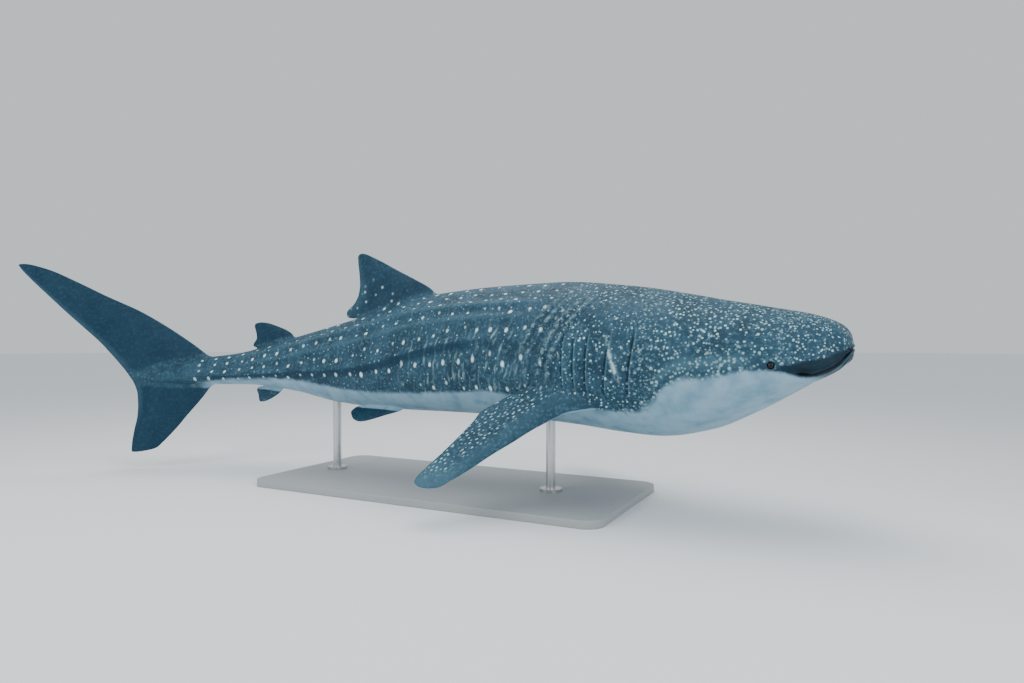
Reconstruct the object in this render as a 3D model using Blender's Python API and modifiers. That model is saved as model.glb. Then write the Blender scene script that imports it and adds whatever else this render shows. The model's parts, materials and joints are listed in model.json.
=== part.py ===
"""A whale shark at life size, as a still museum model on a plain display stand.

Places on the animal are (along, side, height), in percent of the total length, the way
fish are measured: along runs from the snout tip to the tail tip, side points to the
animal's left, and height is above the body's axis. PERCENT turns them to metres.
The snout points to +X and the animal's right side faces -Y.
"""

import math

import bmesh
import bpy
import numpy as np

TOTAL_LENGTH = 6.5
PERCENT = TOTAL_LENGTH / 100
GAP = 0.0003
HALF_GAP = GAP / 2 / PERCENT

# Where the snout tip stands over the floor, and how much lower the tail end is carried.
SNOUT_X = 3.06
SNOUT_Y = -0.12
SNOUT_HEIGHT = 1.02
TAIL_DROP = 4.1

# Which way the body runs, in degrees from the tailward direction -X, positive to the left.
HEADING = ((0, 0), (22, 6), (45, -1), (65, -10), (77, -23), (100, -51))

# Where the snout's flat front begins, and how far its middle stands ahead of that.
SNOUT_FRONT = 0.6
SNOUT_BULGE = 0.08
SNOUT_ROWS_ACROSS = 8
# How much of the lips' and the groove's height runs on across the front.
SNOUT_LIPS_SHARE = 0.5

# The body's outline from the side and from above, in percent.
BACK_LINE = ((0.6, 0.85), (0.66, 1.22), (0.78, 1.5), (1, 1.83), (1.3, 2.12), (1.72, 2.4),
             (2.2, 2.64), (3.1, 3.0), (4, 3.28), (6.3, 3.82), (8.2, 4.27), (10.9, 4.88),
             (13.3, 5.47), (20, 6.9), (28, 7.9), (36, 8.05), (44, 7.75), (52, 6.1), (60, 4.45),
             (66, 3.2), (72, 2.0), (77, 1.6), (82, 0.9), (85.2, -0.2))
BELLY_LINE = ((0.6, -0.62), (0.75, -0.93), (0.9, -1.07), (1.57, -1.5), (2.64, -2.1),
              (4.7, -3.32), (8.2, -5.22), (12, -6.8), (16.5, -7.5), (20, -7.25), (25, -6.65),
              (36, -5.8), (50, -5.2), (57, -4.4), (63, -3.0), (70, -2.0), (77, -1.75),
              (82, -1.5), (85.2, -0.9))
HALF_WIDTH = ((0.6, 2.3), (0.68, 2.9), (0.85, 3.5), (1.15, 4.15), (1.7, 4.8), (2.6, 5.4),
              (4, 5.9), (6.5, 6.4), (12, 7.1), (19, 7.5), (28, 7.1), (40, 6.1), (50, 4.9),
              (60, 3.5), (68, 2.4), (77, 1.6), (82, 0.8), (85.2, 0.1))
WIDEST_HEIGHT = ((0.6, 0.1), (1, -0.3), (2.4, -1.15), (5, -1.28), (10, -1.1), (18, -0.8),
                 (30, -0.3), (45, 0), (60, -0.4), (70, -0.7), (85.2, -0.55))
# How square the sections are: 2 is an ellipse.
BACK_SQUARENESS = ((0.6, 2.6), (6, 2.4), (16, 2.1), (30, 1.95), (50, 1.85), (87, 1.9))
BELLY_SQUARENESS = ((0.6, 2.7), (3, 2.9), (8, 2.4), (16, 2.15), (60, 2.0), (87, 1.9))

# Lines that run along each flank, as shares of the section's height over or under its widest.
RIDGE_TOP = ((0, 0.7), (30, 0.73), (77, 0.7))
RIDGE_MIDDLE = ((0, 0.5), (35, 0.56), (55, 0.44), (77, 0.4))
RIDGE_LOW = ((0, 0.2), (24, 0.3), (35, 0.28), (55, -0.03), (68, 0), (87, 0))
MOUTH_SEAM = ((0.6, 0.1), (0.9, -0.08), (1.32, -0.34), (1.7, -0.42), (2.43, -0.52),
              (3.05, -0.53), (4.15, -0.28), (6, -0.3), (12, -0.4), (87, -0.5))
RIDGE_HEIGHT = 0.26
RIDGE_WIDTH = 0.6
KEEL_HEIGHT = 0.75
RIDGES_FROM = (25, 33)
RIDGES_TO = (66, 74)
KEEL_FROM = (58, 70)
# Forward of the ridges the same lines are spread over the head, at shares of the way to the lip.
LINES_FROM = (14, 25)
HEAD_LINE_SHARES = (0.28, 0.5, 0.75)
# Facets between the back, the three ridges, the mouth's five lines and the belly.
COLUMN_COUNTS = (4, 3, 4, 4, 1, 1, 1, 1, 9)

# The mouth's groove fades out between these, and its lips are rolls this far from it.
MOUTH_CORNER = (3.9, 4.7)
MOUTH_DEPTH = 0.34
GROOVE_SHARE = 0.35
LIP_HEIGHT = 0.12
LIP_WIDTH_SHARE = 0.6
LIP_OFFSET = ((0.6, 0.2), (0.9, 0.32), (1.4, 0.42), (2.4, 0.52), (4.2, 0.5), (10, 1.0),
              (50, 0.9), (77, 0.4), (85.2, 0.04))

GILL_SLITS = (16.9, 19.1, 21.1, 22.4, 23.6)
# Heights between which the slits run out, at the bottom and at the top.
GILL_BOTTOM = (-4.0, -2.8)
GILL_TOP = (1.4, 2.8)
GILL_FLAP_LENGTH = 1.15
GILL_FLAP_HEIGHT = 0.26
GILL_SLIT_DEPTH = 0.16
# Behind the flap's edge the skin drops over the first stretch and rises again over the second.
GILL_DROP = (0, 0.1)
GILL_RISE = (0.15, 0.5)
# The front slits lean, with their upper ends further forward, and the last stand upright.
GILL_LEAN = 0.12
GILL_LEAN_FROM = (16, 16.8)
GILL_LEAN_TO = (19.5, 22)

HEAD_END = 16
TORSO_SPLIT = 40
TORSO_END = 62
STALK_END = 77
CORE_END = 85
SNOUT_RINGS = 18
SNOUT_CROWDING = 2.0
RINGS_AT_A_SLIT = (-0.6, 0, 0.14, 0.5)
TRUNK_RINGS = 11
REAR_RINGS = 13
STALK_RINGS = 9
CORE_RINGS = 6

EYE_ALONG = 6.1
EYE_HEIGHT = -0.95
EYE_RADIUS = 0.021
EYE_PROUD = 0.009
EYE_RIM = 0.006
# The rim's ring is a little inside the eye's edge and sunk by this many metres.
RIM_SHARE = 0.98
RIM_SUNK = 0.001
SPIRACLE_ALONG = 7.5
SPIRACLE_OVER_EYE = 0.15
SPIRACLE_RADIUS = 0.013
NOSTRIL_ALONG = 0.9
NOSTRIL_OVER_WIDEST = 0.45
NOSTRIL_RADIUS = 0.016
EYE_ROUNDS = 16
PIT_ROUNDS = 12
RIM_ROUNDS = (20, 8)

# Upright fins, as (height, leading edge along, trailing edge along, thickness) from root to tip.
FIRST_DORSAL = ((4.8, 41.0, 52.0, 0.95), (5.5, 41.7, 53.1, 0.95), (5.68, 41.9, 55.3, 0.93),
                (5.95, 42.1, 56.1, 0.9), (6.4, 42.5, 56.1, 0.88), (7.4, 43.2, 55.05, 0.82),
                (8.5, 44.3, 54.4, 0.74), (9.7, 46.4, 54.2, 0.64), (11.0, 48.9, 54.3, 0.5),
                (12.2, 51.1, 54.45, 0.36), (13.0, 52.7, 54.5, 0.24), (13.4, 53.6, 54.3, 0.14))
SECOND_DORSAL = ((1.4, 63.0, 68.0, 0.55), (2.35, 63.3, 68.7, 0.55), (2.62, 63.4, 69.6, 0.53),
                 (3.0, 63.5, 69.7, 0.5), (3.9, 63.8, 69.2, 0.44), (4.6, 64.7, 69.3, 0.36),
                 (5.4, 66.6, 69.5, 0.24), (5.85, 67.9, 69.4, 0.14))
ANAL_FIN = ((-0.9, 64.6, 68.0, 0.45), (-2.1, 65.0, 68.2, 0.45), (-2.4, 65.2, 69.0, 0.42),
            (-2.7, 65.4, 69.2, 0.38), (-3.3, 66.1, 69.0, 0.3), (-3.9, 67.2, 68.9, 0.2),
            (-4.25, 68.1, 68.8, 0.13))
TAIL_FIN = ((-10.15, 84.7, 85.8, 0.12), (-9.8, 82.9, 85.85, 0.22), (-9.0, 81.9, 85.8, 0.32),
            (-7.2, 80.1, 85.5, 0.5), (-5.6, 78.7, 85.15, 0.64), (-4.2, 77.4, 85.05, 0.76),
            (-2.8, 76.2, 85.1, 0.88), (-1.6, 75.4, 85.4, 0.98), (0, 75.2, 86.3, 1.05),
            (1.5, 75.7, 87.4, 1.05), (2.7, 77.0, 88.35, 1.0), (4.2, 79.0, 89.6, 0.92),
            (6.0, 81.6, 91.35, 0.82), (8.0, 84.8, 93.3, 0.7), (10.0, 88.7, 95.15, 0.56),
            (12.0, 92.3, 96.95, 0.4), (13.5, 95.2, 98.2, 0.26), (14.3, 97.5, 98.7, 0.14))

# Paired fins, as (reach to the side, leading edge along and height, trailing edge along and
# height, thickness) from root to tip.
PECTORAL = ((4.2, 17.4, -4.3, 23.6, -0.8, 1.5), (5.4, 18.0, -4.4, 24.4, -1.1, 1.5),
            (6.3, 19.0, -4.5, 25.4, -1.6, 1.45), (6.9, 21.2, -4.65, 26.8, -2.2, 1.35),
            (7.6, 23.5, -5.05, 28.9, -3.15, 1.2), (8.8, 25.1, -5.9, 30.5, -4.1, 1.05),
            (9.7, 26.05, -6.55, 31.4, -4.8, 0.95),
            (10.5, 26.8, -7.15, 31.6, -5.5, 0.88), (12.1, 28.3, -8.25, 32.3, -6.85, 0.74),
            (13.7, 29.6, -9.35, 33.15, -8.2, 0.58), (15.0, 30.8, -10.2, 33.9, -9.25, 0.42),
            (15.9, 31.9, -10.75, 34.3, -10.0, 0.28), (16.4, 33.1, -10.8, 34.2, -10.4, 0.16))
PELVIC = ((1.2, 45.4, -4.3, 51.6, -3.9, 0.6), (1.9, 46.3, -4.9, 52.0, -4.5, 0.58),
          (2.3, 47.0, -5.3, 53.2, -4.9, 0.52), (2.9, 48.6, -5.75, 53.4, -5.3, 0.42),
          (3.5, 50.2, -6.2, 52.9, -5.8, 0.3), (3.9, 51.3, -6.45, 52.3, -6.25, 0.16))
# The left fins are carried a little higher, as a rise for each step of reach past the root.
LEFT_PECTORAL_LIFT = 0.2
LEFT_PELVIC_LIFT = 0.35

# A fin's section, as (share of the way back, share of the thickness).
AEROFOIL = ((0, 0), (0.03, 0.42), (0.12, 0.82), (0.3, 1.0), (0.52, 0.86), (0.76, 0.5),
            (0.93, 0.2), (1, 0.06))

BASE_LENGTH = 2.7
BASE_WIDTH = 1.25
BASE_THICKNESS = 0.05
BASE_CORNER = 0.12
BASE_X = 0.4
BASE_Y = 0
ROD_RADIUS = 0.032
ROD_COLLAR_RADIUS = 0.075
ROD_COLLAR_HEIGHT = 0.02
ROD_ALONG = {"front": 29, "rear": 57.5}
# Rods reach this far up into the belly before they're cut back to it.
ROD_INTO_BELLY = 1.2
ROD_FACETS = 24
CORNER_FACETS = 8
# Edges that turn by more degrees than this are shaded sharp.
SHARP_FROM = 40

MATERIALS = {
    "skin": ("#4a5a68", 0.45, 0.0),
    "fin_skin": ("#3d4b59", 0.45, 0.0),
    "eye": ("#101214", 0.08, 0.0),
    "stand_base": ("#b9bcbd", 0.5, 0.0),
    "stand_rod": ("#c8c9ca", 0.3, 1.0),
}


def smooth_curve(points):
    """A curve through a few points that doesn't swing past them between."""
    x, y = np.array(points, float).T
    step = np.diff(x)
    slope = np.diff(y) / step
    tangent = np.zeros(len(x))
    tangent[0] = slope[0]
    tangent[-1] = slope[-1]
    same_way = slope[:-1] * slope[1:] > 0
    mean = np.zeros(len(x) - 2)
    mean[same_way] = 2 / (1 / slope[:-1][same_way] + 1 / slope[1:][same_way])
    tangent[1:-1] = mean

    def value(at):
        at = np.clip(np.asarray(at, float), x[0], x[-1])
        left = np.clip(np.searchsorted(x, at, side="right") - 1, 0, len(x) - 2)
        t = (at - x[left]) / step[left]
        start = (2 * t**3 - 3 * t**2 + 1) * y[left] + (t**3 - 2 * t**2 + t) * step[left] * tangent[left]
        end = (3 * t**2 - 2 * t**3) * y[left + 1] + (t**3 - t**2) * step[left] * tangent[left + 1]
        return start + end

    return value


def blunt_curve(points):
    """The same over the square root of the way from the snout's front, which rounds the snout."""
    curve = smooth_curve([(math.sqrt(along - SNOUT_FRONT), value) for along, value in points])
    return lambda along: curve(np.sqrt(np.maximum(np.asarray(along, float) - SNOUT_FRONT, 0)))


heading = smooth_curve(HEADING)
back_line = blunt_curve(BACK_LINE)
belly_line = blunt_curve(BELLY_LINE)
half_width = blunt_curve(HALF_WIDTH)
widest_height = blunt_curve(WIDEST_HEIGHT)
back_squareness = smooth_curve(BACK_SQUARENESS)
belly_squareness = smooth_curve(BELLY_SQUARENESS)
ridge_lines = [smooth_curve(line) for line in (RIDGE_TOP, RIDGE_MIDDLE, RIDGE_LOW)]
mouth_seam = smooth_curve(MOUTH_SEAM)
lip_offset = smooth_curve(LIP_OFFSET)

SPINE_STEPS = np.linspace(0, 100, 1001)
SPINE_TURN = np.radians(heading(SPINE_STEPS))


def running_sum(values):
    between = (values[1:] + values[:-1]) / 2 * np.diff(SPINE_STEPS)
    return np.concatenate([[0], np.cumsum(between)])


SPINE_BACK = running_sum(np.cos(SPINE_TURN))
SPINE_LEFT = running_sum(np.sin(SPINE_TURN))


def place(along, side, height):
    """Metres in the world for places on the animal."""
    along, side, height = np.broadcast_arrays(*[np.asarray(v, float) for v in (along, side, height)])
    on_spine = np.clip(along, 0, 100)
    turn = np.radians(heading(on_spine))
    back = np.interp(on_spine, SPINE_STEPS, SPINE_BACK) + (along - on_spine) * np.cos(turn)
    left = np.interp(on_spine, SPINE_STEPS, SPINE_LEFT) + (along - on_spine) * np.sin(turn)
    x = SNOUT_X - PERCENT * (back - side * np.sin(turn))
    y = SNOUT_Y + PERCENT * (left + side * np.cos(turn))
    z = SNOUT_HEIGHT + PERCENT * (height - TAIL_DROP * on_spine / 100)
    return np.stack([x, y, z], axis=-1)


def ramp(value, start, end):
    """0 before start, 1 after end, and a smooth rise between."""
    t = np.clip((np.asarray(value, float) - start) / (end - start), 0, 1)
    return t * t * (3 - 2 * t)


def section_radius(along, angle):
    """How far the plain section reaches from its widest point's height, at an angle from straight up."""
    up = np.cos(angle) >= 0
    tall = np.where(up, back_line(along) - widest_height(along), widest_height(along) - belly_line(along))
    square = np.where(up, back_squareness(along), belly_squareness(along))
    share = np.abs(np.sin(angle) / half_width(along)) ** square + np.abs(np.cos(angle) / tall) ** square
    return share ** (-1 / square)


def line_angle(along, share):
    """The angle at which a section is at this share of its height over or under its widest."""
    up = share >= 0
    tall = np.where(up, back_line(along) - widest_height(along), widest_height(along) - belly_line(along))
    square = np.where(up, back_squareness(along), belly_squareness(along))
    wide = half_width(along) * (1 - np.abs(share) ** square) ** (1 / square)
    return np.arctan2(wide, share * tall)


def bump(distance, width):
    return np.exp(-((distance / width) ** 2))


def ridge_relief(along, angle, radius):
    """The three raised lines along each flank, the lowest of which grows into the tail's keel."""
    shown = ramp(along, *RIDGES_FROM) * (1 - ramp(along, *RIDGES_TO))
    keel = ramp(along, *KEEL_FROM)
    total = np.zeros_like(radius)
    for index, line in enumerate(ridge_lines):
        away = radius * (angle - line_angle(along, line(along)))
        height = RIDGE_HEIGHT * shown
        if index == len(ridge_lines) - 1:
            height = RIDGE_HEIGHT * ramp(along, *RIDGES_FROM) * (1 - keel) + KEEL_HEIGHT * keel
            height = height * (1 - ramp(along, STALK_END, CORE_END))
        total = total + height * bump(away, RIDGE_WIDTH)
    return total


def mouth_relief(along, angle, radius):
    """The groove of the closed mouth between two rounded lips, ending at its corner."""
    shown = 1 - ramp(along, *MOUTH_CORNER)
    offset = lip_offset(along)
    away = radius * (angle - line_angle(along, mouth_seam(along)))
    groove = -MOUTH_DEPTH * bump(away, offset * GROOVE_SHARE)
    width = offset * LIP_WIDTH_SHARE
    lips = LIP_HEIGHT * (bump(away - offset, width) + bump(away + offset, width))
    return shown * (groove + lips)


def gill_window(height):
    """1 between the slits' ends and 0 beyond them."""
    return ramp(height, *GILL_BOTTOM) * (1 - ramp(height, *GILL_TOP))


def gill_relief(ring, height):
    """Five flaps that rise towards their free rear edge and drop into the slit behind it."""
    total = np.zeros_like(ring + height)
    for slit in GILL_SLITS:
        behind = ring - slit
        rise = np.clip(1 + behind / GILL_FLAP_LENGTH, 0, 1) ** 1.5
        flap = GILL_FLAP_HEIGHT * rise * (behind <= 0)
        drop = GILL_SLIT_DEPTH * ramp(behind, *GILL_DROP) * (1 - ramp(behind, *GILL_RISE))
        total = total + flap - drop
    return gill_window(height) * total


def gill_lean(ring, height):
    """How far forward of its ring a point lies, so that rings and slits lean together."""
    leaning = ramp(ring, *GILL_LEAN_FROM) * (1 - ramp(ring, *GILL_LEAN_TO))
    return GILL_LEAN * leaning * height * gill_window(height)


def column_angles(along):
    """Angles of the lines that run along one side, from the back to the belly."""
    mouth = line_angle(along, mouth_seam(along))
    lip = lip_offset(along) / section_radius(along, mouth)
    follow = ramp(along, *LINES_FROM)
    stops = [np.zeros_like(along)]
    for line, share in zip(ridge_lines, HEAD_LINE_SHARES):
        stops.append(line_angle(along, line(along)) * follow + (mouth - lip) * share * (1 - follow))
    stops += [mouth + lip * share for share in (-1, -GROOVE_SHARE, 0, GROOVE_SHARE, 1)]
    stops.append(np.full_like(along, math.pi))
    columns = [stops[0]]
    for start, end, count in zip(stops, stops[1:], COLUMN_COUNTS):
        columns += [start + (end - start) * step / count for step in range(1, count + 1)]
    return np.array(columns).T


def body_surface(rings, grow=0.0):
    """Places of the rings' points, counter-clockwise seen from the tail, as (ring, point, 3)."""
    rings = np.asarray(rings, float)
    one_side = column_angles(rings)
    angle = np.concatenate([one_side, -one_side[:, -2:0:-1]], axis=1)
    along = np.repeat(rings[:, None], angle.shape[1], axis=1)

    def relieved(angle):
        size = np.abs(angle)
        radius = section_radius(along, size)
        height = widest_height(along) + radius * np.cos(size)
        relief = ridge_relief(along, size, radius) + mouth_relief(along, size, radius)
        relief = relief + gill_relief(along, height)
        reach = radius + relief + grow
        side, height = reach * np.sin(angle), widest_height(along) + reach * np.cos(angle)
        return along - gill_lean(along, height), side, height

    return np.stack(relieved(angle), axis=-1)


def mesh_object(name, points, faces, collection, material):
    """An object from places in metres and the faces between them."""
    mesh = bpy.data.meshes.new(name)
    mesh.from_pydata([tuple(point) for point in points], [], faces)
    build = bmesh.new()
    build.from_mesh(mesh)
    bmesh.ops.recalc_face_normals(build, faces=build.faces)
    if build.calc_volume(signed=True) < 0:
        bmesh.ops.reverse_faces(build, faces=build.faces)
    build.to_mesh(mesh)
    build.free()
    mesh.shade_smooth()
    mesh.set_sharp_from_angle(angle=math.radians(SHARP_FROM))
    made = bpy.data.objects.new(name, mesh)
    collection.objects.link(made)
    if material:
        mesh.materials.append(material)
    return made


def snout_cap(surface):
    """Rows that close the snout from side to side, with the mouth's groove running on across."""
    first = surface[0]
    count = len(first)
    half = count // 2
    angle = column_angles(np.array([SNOUT_FRONT]))[0]
    radius = section_radius(SNOUT_FRONT, angle)
    relief = SNOUT_LIPS_SHARE * mouth_relief(SNOUT_FRONT, angle, radius)
    points = []
    for row in range(1, half):
        left, right = first[row], first[count - row]
        for step in range(1, SNOUT_ROWS_ACROSS):
            share = step / SNOUT_ROWS_ACROSS
            bulge = SNOUT_BULGE * math.sin(math.pi * share) * math.sin(math.pi * row / half)
            points.append(left + (right - left) * share - np.array([bulge + relief[row], 0, 0]))
    return points, half, SNOUT_ROWS_ACROSS


def body_length(name, rings, collection, material, grow=0.0):
    """A closed length of the body through these rings, with the snout closed by rows across.

    Its sides are triangles, so that a cutter grown from the same rings has the same facets.
    """
    surface = body_surface(rings, grow)
    count = surface.shape[1]
    places = [point for ring in surface for point in ring]
    faces = []
    for ring in range(len(surface) - 1):
        for column in range(count):
            after = (column + 1) % count
            low, high = ring * count, (ring + 1) * count
            faces.append((low + column, low + after, high + after))
            faces.append((low + column, high + after, high + column))
    last = (len(surface) - 1) * count
    faces.append(tuple(range(last, last + count)))
    if rings[0] > SNOUT_FRONT:
        faces.append(tuple(reversed(range(count))))
    else:
        extra, half, across = snout_cap(surface)
        base = len(places)
        places += extra

        def corner(row, step):
            if row in (0, half):
                return row
            if step == 0:
                return row
            if step == across:
                return count - row
            return base + (row - 1) * (across - 1) + step - 1

        for row in range(half):
            for step in range(across):
                ring_face = [corner(row, step), corner(row, step + 1)]
                ring_face += [corner(row + 1, step + 1), corner(row + 1, step)]
                faces.append(tuple(dict.fromkeys(ring_face)))
    places = np.array(places)
    return mesh_object(name, place(*places.T), faces, collection, material)


def fin_object(name, leading, trailing, thickness, collection, material):
    """A fin through sections that are rounded in front, fullest at a third and thin behind.

    leading and trailing hold places on the animal, root first, and thickness is in percent.
    Both faces are split into the same triangles, so that they can't cross where the fin bends.
    """
    leading, trailing = np.array(leading, float), np.array(trailing, float)
    count = len(AEROFOIL)
    loop = 2 * count - 1
    places = []
    for at, (front, rear) in enumerate(zip(leading, trailing)):
        chord = rear - front
        before, after = max(at - 1, 0), min(at + 1, len(leading) - 1)
        span = (leading[after] + trailing[after]) - (leading[before] + trailing[before])
        across = np.cross(chord, span)
        across = across / np.linalg.norm(across)
        upper = [front + chord * c + across * thickness[at] / 2 * t for c, t in AEROFOIL]
        lower = [front + chord * c - across * thickness[at] / 2 * t for c, t in AEROFOIL[:0:-1]]
        places += upper + lower
    faces = []
    for row in range(len(leading) - 1):
        here, there = row * loop, (row + 1) * loop
        for step in range(count - 1):
            a, b = here + step, here + step + 1
            c, d = there + step + 1, there + step
            faces += [(a, b, c), (a, c, d)]
            a, b = here + (loop - step) % loop, here + loop - step - 1
            c, d = there + loop - step - 1, there + (loop - step) % loop
            faces += [(a, c, b), (a, d, c)]
        a, b = here + count - 1, here + count
        c, d = there + count, there + count - 1
        faces += [(a, b, c), (a, c, d)]
    faces.append(tuple(range(loop)))
    last = (len(leading) - 1) * loop
    faces.append(tuple(reversed(range(last, last + loop))))
    return mesh_object(name, place(*np.array(places).T), faces, collection, material)


def upright_fin(name, sections, collection, material):
    leading = [(front, 0, height) for height, front, rear, thick in sections]
    trailing = [(rear, 0, height) for height, front, rear, thick in sections]
    return fin_object(name, leading, trailing, [s[3] for s in sections], collection, material)


def paired_fin(name, sections, side, lift, collection, material):
    root = sections[0][0]
    leading = [(s[1], side * s[0], s[2] + lift * (s[0] - root)) for s in sections]
    trailing = [(s[3], side * s[0], s[4] + lift * (s[0] - root)) for s in sections]
    return fin_object(name, leading, trailing, [s[5] for s in sections], collection, material)


def combine(target, other, operation):
    modifier = target.modifiers.new(operation.lower(), "BOOLEAN")
    modifier.operation = operation
    modifier.object = other


def settle(target):
    """Applies the modifiers and keeps only the largest closed surface."""
    graph = bpy.context.evaluated_depsgraph_get()
    mesh = bpy.data.meshes.new_from_object(target.evaluated_get(graph))
    target.modifiers.clear()
    target.data = mesh
    build = bmesh.new()
    build.from_mesh(mesh)
    groups = []
    left = set(build.faces)
    while left:
        waiting = [left.pop()]
        group = set(waiting)
        while waiting:
            face = waiting.pop()
            for edge in face.edges:
                for near in edge.link_faces:
                    if near in left:
                        left.remove(near)
                        group.add(near)
                        waiting.append(near)
        groups.append(group)
    groups.sort(key=lambda group: sum(face.calc_area() for face in group))
    for group in groups[:-1]:
        bmesh.ops.delete(build, geom=list(group), context="FACES")
    build.to_mesh(mesh)
    build.free()
    mesh.set_sharp_from_angle(angle=math.radians(SHARP_FROM))


def discard(helper):
    bpy.data.objects.remove(helper, do_unlink=True)


def surface_spot(along, height):
    """The place on the left flank at this height, and the outward direction there, in metres."""
    share = np.array((height - widest_height(along)) / (widest_height(along) - belly_line(along)))
    if height > widest_height(along):
        share = np.array((height - widest_height(along)) / (back_line(along) - widest_height(along)))
    angle = line_angle(along, share)

    def spot(a, b):
        radius = section_radius(a, b)
        return place(a, radius * np.sin(b), widest_height(a) + radius * np.cos(b))

    here = spot(along, angle)
    outward = np.cross(spot(along + 0.3, angle) - here, spot(along, angle + 0.05) - here)
    outward = outward / np.linalg.norm(outward)
    if outward[1] < 0:
        outward = -outward
    return here, outward


def mirrored_spot(along, height, side):
    """The same spot on either side: side is 1 for the left and -1 for the right."""
    here, outward = surface_spot(along, height)
    if side > 0:
        return here, outward
    axis = place(along, 0, height)
    turn = math.radians(float(heading(along)))
    left = np.array([math.sin(turn), math.cos(turn), 0])
    here = here - 2 * left * np.dot(here - axis, left)
    outward = outward - 2 * left * np.dot(outward, left)
    return here, outward


def ball(name, centre, radius, collection, material=None, rounds=EYE_ROUNDS):
    build = bmesh.new()
    bmesh.ops.create_uvsphere(build, u_segments=rounds, v_segments=rounds // 2 + 2, radius=radius)
    mesh = bpy.data.meshes.new(name)
    build.to_mesh(mesh)
    build.free()
    mesh.shade_smooth()
    made = bpy.data.objects.new(name, mesh)
    made.location = centre
    collection.objects.link(made)
    if material:
        mesh.materials.append(material)
    return made


def ring_roll(name, centre, outward, radius, roll, collection):
    """A rounded ring that lies on the skin, facing outward."""
    around, across = RIM_ROUNDS
    bpy.ops.mesh.primitive_torus_add(
        major_radius=radius, minor_radius=roll, major_segments=around, minor_segments=across
    )
    made = bpy.context.object
    made.name = name
    for owner in list(made.users_collection):
        owner.objects.unlink(made)
    collection.objects.link(made)
    flat = math.hypot(outward[0], outward[1])
    made.rotation_euler = (0, math.atan2(flat, outward[2]), math.atan2(outward[1], outward[0]))
    made.location = centre
    return made


def make_material(name, colour, roughness, metallic):
    made = bpy.data.materials.new(name)
    made.use_nodes = True
    surface = made.node_tree.nodes["Principled BSDF"]
    values = [int(colour[at:at + 2], 16) / 255 for at in (1, 3, 5)]
    linear = [v / 12.92 if v <= 0.04045 else ((v + 0.055) / 1.055) ** 2.4 for v in values]
    surface.inputs["Base Color"].default_value = (*linear, 1)
    surface.inputs["Roughness"].default_value = roughness
    surface.inputs["Metallic"].default_value = metallic
    return made


def ring_stations():
    """Rings close together at the snout and at the gills, and wider apart along the trunk."""
    steps = np.arange(SNOUT_RINGS) / SNOUT_RINGS
    snout = list(SNOUT_FRONT + (HEAD_END - SNOUT_FRONT) * steps ** SNOUT_CROWDING)
    gills = [slit + step for slit in GILL_SLITS for step in RINGS_AT_A_SLIT]
    trunk = list(np.linspace(gills[-1], TORSO_SPLIT, TRUNK_RINGS + 1)[1:-1])
    rear = list(np.linspace(TORSO_SPLIT, TORSO_END, REAR_RINGS + 1)[1:-1])
    stalk = list(np.linspace(TORSO_END, STALK_END, STALK_RINGS + 1)[1:-1])
    return snout, gills, trunk, rear, stalk


def length_rings(start, inner, end):
    """Rings of one length, stopping half a gap short of each cut."""
    first = [start + HALF_GAP] if start > 0 else []
    return first + [ring for ring in inner if ring > start] + [end - HALF_GAP]


def head_details(head, helpers):
    """Rims round the eyes, and the sockets, spiracles and nostrils sunk in the skin."""
    for side in (1, -1):
        here, outward = mirrored_spot(EYE_ALONG, EYE_HEIGHT, side)
        middle = here - outward * RIM_SUNK
        rim = ring_roll("rim", middle, outward, EYE_RADIUS * RIM_SHARE, EYE_RIM, helpers)
        combine(head, rim, "UNION")
    for side in (1, -1):
        here, outward = mirrored_spot(EYE_ALONG, EYE_HEIGHT, side)
        centre = here - outward * (EYE_RADIUS - EYE_PROUD)
        combine(head, ball("socket", centre, EYE_RADIUS + GAP, helpers), "DIFFERENCE")
        here, outward = mirrored_spot(SPIRACLE_ALONG, EYE_HEIGHT + SPIRACLE_OVER_EYE, side)
        spiracle = ball("spiracle", here, SPIRACLE_RADIUS, helpers, rounds=PIT_ROUNDS)
        combine(head, spiracle, "DIFFERENCE")
        height = float(widest_height(NOSTRIL_ALONG)) + NOSTRIL_OVER_WIDEST
        here, outward = mirrored_spot(NOSTRIL_ALONG, height, side)
        nostril = ball("nostril", here, NOSTRIL_RADIUS, helpers, rounds=PIT_ROUNDS)
        combine(head, nostril, "DIFFERENCE")
    settle(head)


def make_eyes(parts, material):
    for side, name in ((1, "eye_left"), (-1, "eye_right")):
        here, outward = mirrored_spot(EYE_ALONG, EYE_HEIGHT, side)
        ball(name, here - outward * (EYE_RADIUS - EYE_PROUD), EYE_RADIUS, parts, material)


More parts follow.
